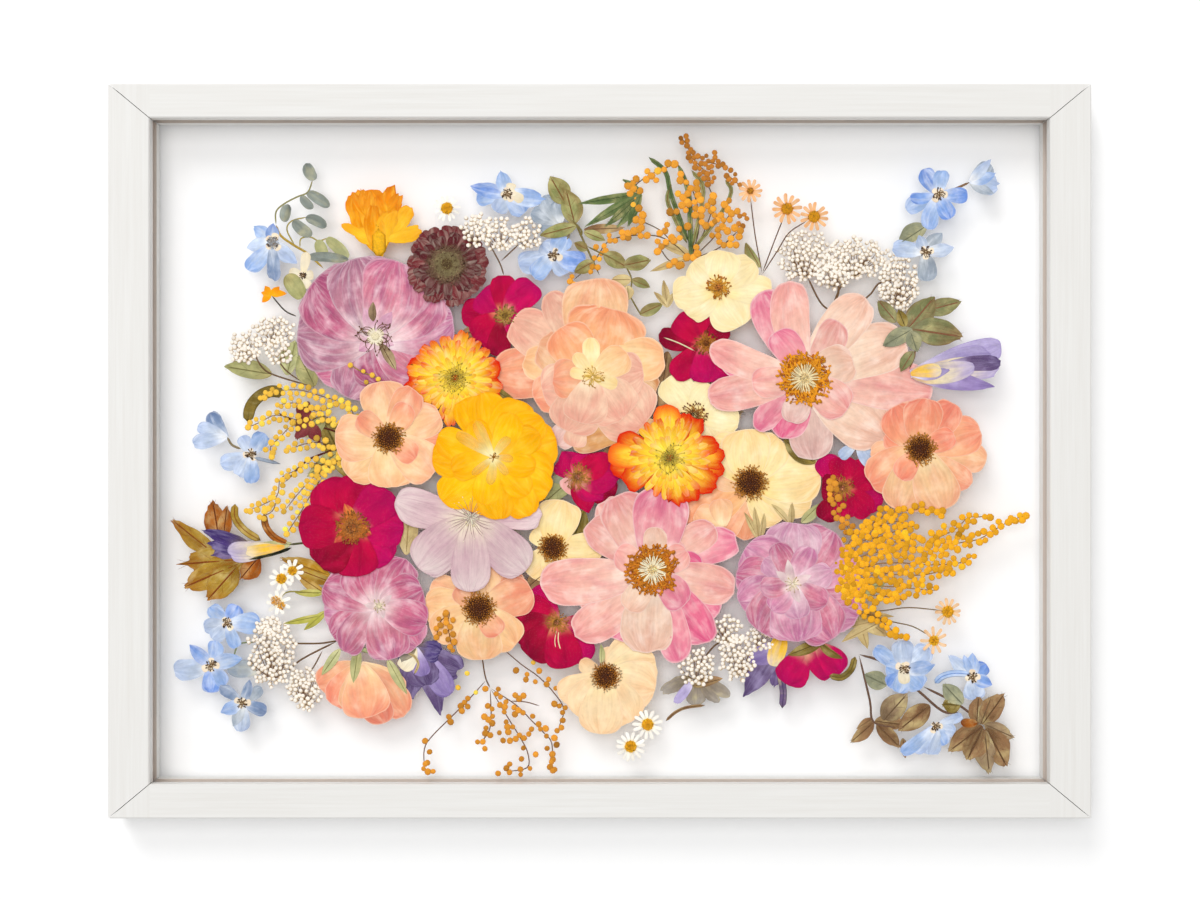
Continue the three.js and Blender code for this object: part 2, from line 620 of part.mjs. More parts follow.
    stem(1, [[15, 78], [19, 71], [21, 68]]),
    leaf(20, 68.5, 32, 74, 6),
  ]),
  specimen("mimosa_top", 0, [
    plume(5.5, [
      [46, 96], [44, 110], [34, 112], [24, 110], [15, 109], [8, 106.5], [2, 104], [0.5, 97], [-9, 86.5],
    ]),
    plume(5.5, [[38, 112], [22, 115], [16, 125], [15, 134], [24, 139], [30, 142], [37, 143.5]]),
    plume(5.5, [[46, 96], [48, 118], [52, 130], [50, 140], [46, 147], [44, 153], [40, 158]]),
    plume(5.5, [[50, 140], [58, 143.5], [63, 139], [67, 134], [71, 132]]),
    plume(5.5, [[46, 100], [40, 116], [41, 128], [42, 136]]),
    plume(5.5, [[46, 98], [50, 112], [55, 124], [57, 136]]),
    plume(5.5, [[46, 98], [55, 108], [62, 114], [67, 122]]),
    plume(5.5, [[46, 97], [58, 102], [66, 108], [73, 114]]),
    stem(1.6, [[46, 96], [45.5, 110], [44.5, 130], [39, 144.5]]),
    stem(1.3, [[45, 104], [36, 128], [33, 140], [24.5, 147.5]]),
    stem(1.3, [[46, 100], [52, 130], [46, 141]]),
    leaf(46, 98, 30, 104, 5),
    leaf(46, 97.5, 25, 90, 4),
  ]),
  specimen("daisy_spray_top", 1, [
    rays(75.5, 130.5, 11, 6.3, 2.4, 200),
    heart(75.5, 131, 2.6),
    rays(94, 121.5, 12, 8, 2.6, 5),
    heart(94, 121.5, 3),
    rays(107.5, 117.5, 12, 7.5, 2.5, 18),
    heart(107.5, 117.5, 3),
    stem(0.9, [[75.5, 128], [78, 108], [81.5, 89]]),
    stem(0.9, [[93, 119], [87.5, 105], [81.5, 89]]),
    stem(0.9, [[104, 115.5], [95, 109.5], [89.5, 101], [81.5, 88.5]]),
    leaf(80.5, 92, 73, 105, 5.5),
  ]),
  specimen("rice_flower_top_right", 0, [
    cluster(103, 98, 14, 13, 10),
    cluster(128, 97, 17, 10, 10),
    cluster(150, 85, 10, 14.5, 8),
    stem(1.6, [[116, 70], [120, 82], [114, 93]]),
    stem(1.3, [[116, 70], [110.5, 75], [104, 88]]),
    stem(1.3, [[116, 70], [122, 84], [132, 90]]),
    stem(1.3, [[118, 69], [134, 77], [140, 84], [148, 86]]),
  ]),
  specimen("cream_bloom_top", 2, [
    petals(59.5, 82, [[47, 95.5, 17], [62, 100.5, 18], [78, 94.5, 16], [87, 80.5, 15]]),
    petals(59.5, 82, [[71, 62.5, 22], [60.5, 64, 10], [43.5, 68, 16], [36.5, 78, 17]]),
    heart(59.5, 82, 5.5),
  ]),
  specimen("crimson_rose_middle", 1, [
    petals(53.5, 54, [[38, 67, 15], [51, 71, 11], [63, 63.5, 12], [29.5, 58.5, 11]]),
    petals(53.5, 54, [[37, 36.5, 13], [53.5, 34, 19], [74.5, 38, 15]]),
    heart(53.5, 54, 5.5),
  ]),
  specimen("cream_bloom_middle", 0, [
    petals(47.5, 18, [[33.5, 37, 18], [56, 33.5, 18], [70, 14.5, 15], [58, 5, 14], [37, 8, 14]]),
    heart(47.5, 18, 6),
  ]),
  specimen("flame_mum_middle", 4, [
    petals(35, -3.5, [[33, 23.5, 14], [24.5, 9, 12], [9, 7, 13], [3.5, -1.5, 13], [11, -17.5, 14]]),
    petals(35, -3.5, [[27, -20, 12], [40, -28.5, 10], [48, -26, 10], [59, -18.5, 13], [64.5, -5, 13]]),
    petals(35, -3.5, [[60, 3.5, 12], [50.5, 17.5, 12], [44, 20, 10], [63, -11, 10], [5, -9, 12]]),
    heart(35, -3.5, 7.5),
  ]),
  specimen("peony_upper", 3, [
    petals(102.5, 37, [
      [81, 80, 21], [94.5, 85.5, 20], [120, 65.5, 16], [133.5, 77, 22], [154, 56, 26],
    ]),
    petals(102.5, 37, [[167, 30, 26], [144, 7.5, 30], [107.5, -4.5, 22], [91, 6, 18], [78, 10.5, 13]]),
    petals(102.5, 37, [[54, 27, 18], [60.5, 45.5, 14], [55, 52, 16]]),
    heart(102.5, 36.5, 12),
  ]),
  specimen("coral_rose_right", 4, [
    petals(160.5, 1, [[148, 23, 22], [163.5, 26.5, 20], [178, 24, 17], [191, 10, 20], [194, -5, 16]]),
    petals(160.5, 1, [
      [186, -17, 14], [172, -30, 23], [150, -30, 23], [135, -16.5, 21], [135.5, -2, 15],
    ]),
    petals(160.5, 1, [[143, 9.5, 15]]),
    heart(160.5, 1, 7.5),
  ]),
  specimen("mimosa_right", 5, [
    plume(6.5, [[122, -71], [124, -47], [137, -36], [145, -31], [155, -29.5], [163, -29], [171, -32]]),
    plume(6.5, [[122, -71], [128, -48], [140, -43], [152, -39], [160, -37]]),
    plume(6.5, [
      [122, -71], [128, -55], [142, -50], [157, -48], [168, -50], [180, -46], [190, -44],
      [200, -38], [207, -34],
    ]),
    plume(6.5, [[206, -34.5], [214, -32]]),
    plume(6.5, [[162, -47], [178, -39], [184, -33.5], [190, -33], [196, -32]]),
    plume(6.5, [[122, -71], [134, -58], [150, -56], [165, -57], [180, -56], [187, -52]]),
    plume(6.5, [[122, -71], [136, -62], [150, -62], [162, -62], [172, -60], [177, -61]]),
    plume(6.5, [[122, -71], [135, -68], [147, -68], [158, -69], [169, -70]]),
    plume(6.5, [[122, -71], [136, -72], [150, -74], [152, -76]]),
    plume(6.5, [[122, -71], [134, -80], [142, -86], [148, -91], [154, -93.5]]),
    leaf(124, -71.5, 143, -66, 8),
  ]),
  specimen("freesia_right", 5, [
    petals(155.5, 38.5, [[202, 52.5, 14], [201, 41, 11], [196, 49, 12]]),
    pointed(155.5, 38.5, [[198.5, 32, 11]]),
    pods([[155.5, 38.5, 188, 42, 11]]),
  ]),
  specimen("leaf_spray_right", 4, [
    stem(1.3, [[148.5, 65], [155, 61], [158, 50], [155, 41]]),
    leaf(148.5, 64.5, 139, 76, 7.5),
    leaf(154, 61, 168, 77.5, 13),
    leaf(163, 70, 181.5, 75, 9),
    leaf(156.5, 61, 182.5, 57, 14),
    leaf(153, 62, 149.5, 71, 5.5),
    leaf(156.5, 61, 141.5, 52.5, 8.5),
    leaf(155.5, 60, 159, 49.5, 8),
    leaf(157, 50, 150.5, 39.5, 6),
  ]),
  specimen("delphinium_upper_right", 1, [
    petals(170, 128.5, [
      [162, 141.5, 9], [172.5, 141, 8], [185, 128, 8], [176, 116.5, 9], [164.5, 111, 9],
    ]),
    petals(170, 128.5, [[153.5, 121, 9], [155.5, 127, 6]]),
    heart(170, 129, 3.5),
    stem(1.4, [[170, 129], [177, 131], [186, 135]]),
    pointed(185.5, 135, [[196.5, 146.5, 6], [199, 139.5, 7], [201, 134, 6], [198, 129, 6]]),
    petals(163.5, 100, [[146.5, 102, 9], [164, 85, 10]]),
    pointed(163.5, 100, [[172, 109.5, 9], [178.5, 102, 8], [160, 108.5, 7]]),
    heart(163.5, 100, 3.2),
    leaf(164, 113, 149.5, 103.5, 9),
  ]),
  specimen("crimson_bloom_right", 2, [
    petals(121.5, -18.5, [[111, -3, 13], [122, -2.5, 14], [137, -10, 17], [142.5, -24.5, 17]]),
    petals(121.5, -18.5, [[135.5, -32, 13], [111, -34.5, 12], [124, -34, 12], [111, -18, 14]]),
    heart(121.5, -18.5, 5.5),
  ]),
  specimen("mauve_bloom_right", 6, [
    petals(96.5, -66.5, [
      [97.5, -35, 28], [116.5, -39.5, 24], [73, -48, 25], [68, -62, 20], [69, -75, 17],
    ]),
    petals(96.5, -66.5, [[80.5, -91, 24], [99, -95.5, 27], [116.5, -94.5, 25], [130, -83, 24]]),
    petals(96.5, -66.5, [[131, -67, 24], [128, -54, 22]]),
    heart(96.5, -66.5, 3),
  ]),
  specimen("buttercream_bloom", 1, [
    petals(75.5, -16, [[73, 11, 25], [90, 7.5, 20], [111, -11.5, 25], [106.5, -27, 20], [91, -35, 22]]),
    petals(75.5, -16, [[55, 6.5, 20], [58, -12, 15], [42, -34, 25], [53, -46.5, 20], [72.5, -45, 16]]),
    leaf(82.5, -43, 71.5, -29, 6.5),
    leaf(94, -35, 85, -26, 4.5),
    leaf(100, -36, 111, -25, 5.5),
    heart(75.5, -16, 8.2),
  ]),
  specimen("peony_lower", 3, [
    petals(26.5, -60, [[32, -18, 28], [7.5, -22, 26], [-6.5, -36, 20], [38, -43, 18], [52.5, -60, 19]]),
    petals(26.5, -60, [
      [68, -69.5, 20], [60, -81, 20], [55.5, -96, 20], [40, -106, 17], [24, -102, 26],
    ]),
    petals(26.5, -60, [[7, -95, 18], [-12.5, -93, 21], [-30, -66.5, 24], [-12, -75, 17]]),
    heart(26.5, -59.5, 12.5),
  ]),
  specimen("crimson_bloom_lower", 1, [
    petals(-21.5, -86, [[-32.5, -68, 15], [-38.5, -77, 15], [-43.5, -91, 17], [-35.5, -103.5, 19]]),
    petals(-21.5, -86, [[-17, -109, 19], [-5, -105, 14], [1.5, -90, 14]]),
    heart(-21.5, -86, 5),
  ]),
  specimen("cream_bloom_lower", 2, [
    petals(3, -113, [
      [-21, -122.5, 14], [-12, -132.5, 20], [0.5, -142, 22], [16, -136, 22], [28, -119, 24],
    ]),
    petals(3, -113, [[28.5, -105.5, 20], [17, -96, 18], [5, -98, 8], [-10, -105.5, 8]]),
    heart(3, -113, 7),
  ]),
  specimen("daisy_pair", 3, [
    rays(24, -137, 13, 8, 2.4, 12),
    heart(24, -137, 3.5),
    rays(15.5, -148, 14, 7.8, 2.3, 3),
    heart(15.5, -148, 3.4),
  ]),
  specimen("mimosa_lower", 0, [
    stem(1, [[-59.5, -100], [-57.5, -113], [-55, -119]]),
    twig([[-57.5, -113], [-64, -117], [-70, -122], [-79, -133], [-86, -141], [-88, -149], [-88, -160]]),
    twig([[-55, -119], [-56, -128], [-57, -136], [-60, -145]]),
    twig([[-55, -119], [-50, -128], [-42, -139], [-37, -149], [-36, -156], [-40, -162], [-49, -162]]),
    twig([[-55, -119], [-41, -131], [-32, -137], [-26, -144], [-24, -150], [-24, -162]]),
    twig([[-55, -119], [-38, -126], [-30, -126]]),
    twig([[-50, -98], [-36, -108], [-28, -114], [-21, -120], [-19, -128], [-21, -140]]),
    stem(1, [[-46, -101.5], [-50, -99], [-60, -101.5]]),
  ]),
  specimen("iris_lower_left", 1, [
    petals(-92.5, -98.5, [
      [-98, -107, 12], [-69, -111, 15], [-79, -101, 11], [-86, -118, 16], [-75, -122.5, 12],
    ]),
    pointed(-92.5, -100, [[-96, -127, 15], [-79.5, -133.5, 12]]),
  ]),
  specimen("peach_bud", 2, [
    petals(-120, -107, [[-141.5, -117.5, 15], [-134, -127.5, 16], [-117, -134, 24], [-97, -132.5, 16]]),
    petals(-120, -107, [[-98.5, -122, 15], [-107.5, -136.5, 16], [-124, -131, 16]]),
    leaf(-121, -98.5, -123.5, -116.5, 5.5),
    leaf(-106.5, -104, -96.5, -122, 5),
    leaf(-130, -99, -139.5, -112.5, 5),
    stem(3, [[-131, -99.5], [-121, -99], [-107, -103.5]]),
  ]),
  specimen("rice_flower_lower_right", 1, [
    cluster(48.5, -108, 9, 9.5, 7),
    cluster(64, -90.5, 8, 7.5, 6),
    cluster(69, -104, 9, 11, 8),
    cluster(80, -94, 7, 6, 5),
    stem(1.1, [[52, -104], [60, -96], [72, -94]]),
    pods([[46, -114, 30.5, -121, 7], [46, -116, 36.5, -129.5, 7.5], [48, -115, 48, -128, 11]]),
    pods([[53, -116, 65.5, -125, 8.5]]),
    leaf(47, -118, 62, -114, 5),
    strap(2.4, [[53, -127.5], [44, -128.5], [38, -131], [33, -135.5]]),
  ]),
  specimen("iris_lower_right", 2, [
    pods([[91.5, -92, 86.5, -107, 9]]),
    pointed(90, -98, [[71.5, -124, 13], [74, -105.5, 12], [87, -119, 14]]),
    strap(4.5, [[90, -110], [92, -120], [91.5, -129]]),
    petals(103, -100.5, [[93.5, -117, 17], [117, -112.5, 13]]),
    petals(109, -97, [[121, -111.5, 14]]),
    leaf(105, -97, 94, -102, 8),
    leaf(102, -96.5, 118, -106, 5),
    strap(3, [[117, -111], [124, -112.5], [129, -108.5]]),
  ]),
  specimen("delphinium_lower_right", 1, [
    petals(153, -110, [
      [137.5, -98.5, 8], [151.5, -94.5, 11], [165, -98, 11], [162, -119, 11], [150, -121.5, 9],
    ]),
    petals(153, -110, [[143.5, -108, 9], [144.5, -118, 8]]),
    pointed(153, -110, [[168.5, -107, 9]]),
    heart(153, -111, 3.2),
    pointed(187, -113.5, [[174.5, -102, 8], [187, -101, 8], [197, -117.5, 8], [182.5, -101.5, 5]]),
    petals(187, -113.5, [[194, -107, 8], [188, -125, 11]]),
    strap(4, [[186, -112], [178, -111.5], [172, -113], [168, -116.5]]),
    heart(187, -113.5, 3),
    petals(168.5, -137.5, [
      [182.5, -132.5, 5], [178.5, -141, 7], [173.5, -147.5, 7], [165, -152.5, 12],
    ]),
    petals(168.5, -137.5, [[158, -151.5, 8], [151, -152, 7]]),
    heart(168.5, -138, 2.4),
    stem(1.6, [[130, -102], [143, -106.5], [159.5, -120], [172, -130.5], [180, -131]]),
    stem(1.4, [[162, -118], [179.5, -127], [192, -136.5]]),
    stem(1.4, [[130, -102], [135.5, -125], [137.5, -136], [150, -139]]),
    leaf(137, -134, 128.5, -139.5, 4),
    leaf(137.5, -136, 125.5, -146.5, 6.5),
    leaf(138, -135.5, 154, -137.5, 8),
    leaf(142, -135.5, 154.5, -121.5, 12),
    leaf(139, -137, 151, -149, 7.5),
    leaf(144, -117.5, 132.5, -112, 9.5),
    leaf(165.5, -127.5, 149.5, -140.5, 11),
    leaf(152, -144, 153.5, -154.5, 4),
    leaf(192, -137, 203.5, -121, 11),
    leaf(191, -137, 196.5, -123, 10),
    leaf(189, -137, 190, -122.5, 9),
    leaf(181, -127.5, 171.5, -127, 9),
    leaf(182, -127, 172, -116.5, 9),
    leaf(193, -137, 208.5, -144, 8),
    leaf(194, -139, 204.5, -159, 14),
    leaf(193, -140, 195.5, -162.5, 11),
    leaf(192, -138, 174.5, -151, 11),
    leaf(192, -139, 184, -155.5, 14),
  ]),
  specimen("daisy_spray_right", 2, [
    rays(174.5, -80.5, 12, 7, 2.3, 8),
    heart(174.5, -80.5, 3),
    rays(167.5, -95, 9, 7.3, 2.3, 300),
    heart(167.5, -95, 3.2),
    stem(0.9, [[172, -80], [155, -78.5], [142.5, -80], [131, -81]]),
    stem(0.9, [[166, -93], [157, -88], [146.5, -85.5], [131, -81]]),
    leaf(129, -81.5, 144.5, -93, 8),
    leaf(129, -82, 134.5, -99.5, 6),
    leaf(126, -81, 148, -83, 3.5),
  ]),
];

// ---------------------------------------------------------------------------
// Assembly.
const HANGER_TOP = FRAME_HEIGHT / 2 - (CROSS_RAIL - HANGER.height) / 2;
const HANGER_EDGE = HANGER_TOP - HANGER.height;
const HANG_POINT = HANGER_EDGE + HANGER.tooth;
const WALL = -PLAY - HANGER.thick - NAIL.head;

const sheet = new THREE.Group();
sheet.add(
  rail("rail_top", FRAME_WIDTH, FRAME_HEIGHT, CROSS_RAIL, SIDE_RAIL, 0),
  rail("rail_left", FRAME_HEIGHT, FRAME_WIDTH, SIDE_RAIL, CROSS_RAIL, Math.PI / 2),
  rail("rail_bottom", FRAME_WIDTH, FRAME_HEIGHT, CROSS_RAIL, SIDE_RAIL, Math.PI),
  rail("rail_right", FRAME_HEIGHT, FRAME_WIDTH, SIDE_RAIL, CROSS_RAIL, -Math.PI / 2),
  pane("glass_back", BACK_LIP + PLAY),
  pane("glass_front", BACK_PANE_TOP + PANE_GAP),
  hanger("hanger", HANGER_EDGE),
  ...specimens,
);
sheet.position.set(0, -HANG_POINT, -WALL);

const model = new THREE.Group();
model.add(sheet);
model.rotation.x = Math.PI / 2;

export default model;
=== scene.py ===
# %% [markdown]
# # Pressed flower frame
# Fifty-three pressed flowers, leaves and twigs lie between two clear panes in a white
# wooden frame that hangs on a wall. The frame, the panes and the hanger are solids made
# before; this lesson loads them and gives them their finishes. Each flower is then built
# anew, petal by petal, in the layer where its plain solid lies, and stands for it.
# %% Load the frame
import json
import bpy
import numpy as np
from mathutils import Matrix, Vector


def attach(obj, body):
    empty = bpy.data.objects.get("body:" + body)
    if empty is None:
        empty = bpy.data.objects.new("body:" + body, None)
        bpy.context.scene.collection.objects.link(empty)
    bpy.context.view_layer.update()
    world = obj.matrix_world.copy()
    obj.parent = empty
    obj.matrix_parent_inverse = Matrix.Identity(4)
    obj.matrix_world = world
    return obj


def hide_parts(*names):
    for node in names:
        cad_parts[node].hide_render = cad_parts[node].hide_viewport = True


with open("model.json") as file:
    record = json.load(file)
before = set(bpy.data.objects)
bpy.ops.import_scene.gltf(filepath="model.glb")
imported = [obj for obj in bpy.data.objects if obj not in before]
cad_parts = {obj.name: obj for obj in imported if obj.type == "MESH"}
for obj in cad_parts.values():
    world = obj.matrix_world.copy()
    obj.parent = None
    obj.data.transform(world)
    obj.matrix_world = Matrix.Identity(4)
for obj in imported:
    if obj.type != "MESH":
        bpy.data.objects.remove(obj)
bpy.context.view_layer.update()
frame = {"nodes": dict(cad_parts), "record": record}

# %% [markdown]
# ## The sheet of flowers
# The flowers were laid out flat, so their places are given in millimetres on that sheet:
# x to the right, y up, both from its centre, and z towards the viewer from the back of
# the rails. One function stands the sheet upright in metres. Pressed petals are never
# quite level, so a gentle swell, the same for all that lies at one place, lifts and
# lowers them together; that way no petal is pushed through the next. The frame hangs
# from a point on the wall 171.5 mm above the sheet's centre, and its rails stand 2.3 mm
# off the wall.
# %% Sheet coordinates
HANG_POINT = 171.5
WALL_GAP = 2.3
BACK_PANE_FRONT = 9.7
FIRST_LAYER = BACK_PANE_FRONT + 0.3
LAYER, LAYERS = 0.6, 7
UV_UNIT = 20
# half the tint is the rim colour of stems and grains; on grains it is painted shade
RIM_SHADE = 0.5
GOLDEN_ANGLE = 2.39996
rng = np.random.default_rng(7)


def swell(x, y):
    """Height in mm: three crossing waves, 13 to 19 mm long, added up."""
    return 0.03 * (np.sin(0.28 * x + 0.16 * y) + np.sin(0.45 * y - 0.13 * x + 1.3)
                   + 0.6 * np.sin(0.24 * x - 0.35 * y + 2.1))


def upright(points):
    """Sheet millimetres to metres: x stays, z turns to -Y, y turns to Z."""
    x, y, z = points.T
    return np.column_stack([x, -(z + WALL_GAP), y - HANG_POINT]) / 1000


def linear(code):
    """Colour code to linear light: c/12.92 when dark, otherwise a power of 2.4."""
    c = np.array([int(code[i:i + 2], 16) for i in (1, 3, 5)]) / 255
    return np.where(c < 0.04045, c / 12.92, ((c + 0.055) / 1.055) ** 2.4)


def smooth(v, low, high):
    """0 below low, 1 above high, and an S curve 3v^2 - 2v^3 between."""
    v = np.clip((v - low) / (high - low), 0, 1)
    return v * v * (3 - 2 * v)


print("layer floors in mm:", [round(FIRST_LAYER + LAYER * k, 1) for k in range(LAYERS)])

# %% [markdown]
# ## One blade
# A petal or a leaf is a blade: a closed skin, thin at its rim, with a claw at the base
# and a tip. It could be cut from a plane, but then it has no edge and no thickness. Here
# a square grid is bent onto a disc, so that no corner is pinched, and the disc is
# stretched to the petal's outline, once for the front and once for the back; both share
# their rim, which closes the skin. Broad blades get a finer grid than narrow ones.
# %% Grids bent onto a disc
def disc_grid(across, long):
    """Square (u, v) to disc: u*sqrt(1 - v^2/2) across and v*sqrt(1 - u^2/2) along. The
    diagonals of the cells run to the square's corners, so no face lies on the rim alone."""
    u, v = np.meshgrid(np.linspace(-1, 1, across), np.linspace(-1, 1, long), indexing="ij")
    du = (u * np.sqrt(1 - v * v / 2)).ravel()
    dv = (v * np.sqrt(1 - u * u / 2)).ravel()
    front = np.arange(across * long).reshape(across, long)
    inner = np.zeros((across, long), bool)
    inner[1:-1, 1:-1] = True
    back = front.copy()
    back[inner] = across * long + np.arange(inner.sum())
    turned = (u[:-1, :-1] + u[1:, 1:]) * (v[:-1, :-1] + v[1:, 1:]) < 0
    faces = []
    for sheet, order in ((front, 1), (back, -1)):
        cell = np.array([sheet[:-1, :-1], sheet[1:, :-1], sheet[1:, 1:], sheet[:-1, 1:]])
        a, b, c, d = np.where(turned, np.roll(cell, -1, axis=0), cell)
        faces += [(a, b, c)[::order], (a, c, d)[::order]]
    faces = np.concatenate([np.stack(face, -1).reshape(-1, 3) for face in faces])
    both = np.concatenate([np.arange(across * long), front[inner]])
    side = np.concatenate([np.ones(across * long), -np.ones(inner.sum())])
    return du[both], dv[both], side, faces


BROAD, MIDDLE, NARROW = (13, 17), (9, 13), (5, 9)
GRIDS = {size: disc_grid(*size) for size in (BROAD, MIDDLE, NARROW)}
print("faces of a blade:", {size: len(grid[3]) for size, grid in GRIDS.items()})

# %% [markdown]
# ## Outlines
# The solids' outlines are Bezier curves from the base to the tip, one side mirrored. The
# same curves are worked out here as a table of half-widths, so that each petal reaches
# exactly as far as the solid that it stands for.
# %% Half-widths from base to tip
def half_width(base, pieces):
    """Table of (t, v) along cubic Bezier pieces: sum of (1-k)^(3-i) k^i times point i."""
    k = np.linspace(0, 1, 24)[:, None]
    start, table = np.array([0, base]), []
    for t1, v1, t2, v2, t3, v3 in pieces:
        end = np.array([t3, v3])
        table.append((1 - k) ** 3 * start + 3 * (1 - k) ** 2 * k * np.array([t1, v1])
                     + 3 * (1 - k) * k * k * np.array([t2, v2]) + k ** 3 * end)
        start = end
    return np.concatenate(table)


OUTLINES = {
    "round": half_width(0.13, [(0.2, 0.32, 0.46, 0.5, 0.73, 0.5), (0.92, 0.5, 1, 0.3, 1, 0)]),
    "pointed": half_width(0.14, [(0.25, 0.5, 0.62, 0.62, 1, 0)]),
    "leaf": half_width(0.06, [(0.2, 0.66, 0.66, 0.66, 1, 0)]),
    "pod": half_width(0.04, [(0.02, 0.36, 0.2, 0.5, 0.5, 0.5), (0.8, 0.5, 1, 0.34, 1, 0)]),
    "ray": half_width(0.3, [(0.3, 0.44, 0.5, 0.5, 0.8, 0.5), (0.95, 0.5, 1, 0.3, 1, 0)]),
}
print("outlines:", sorted(OUTLINES))

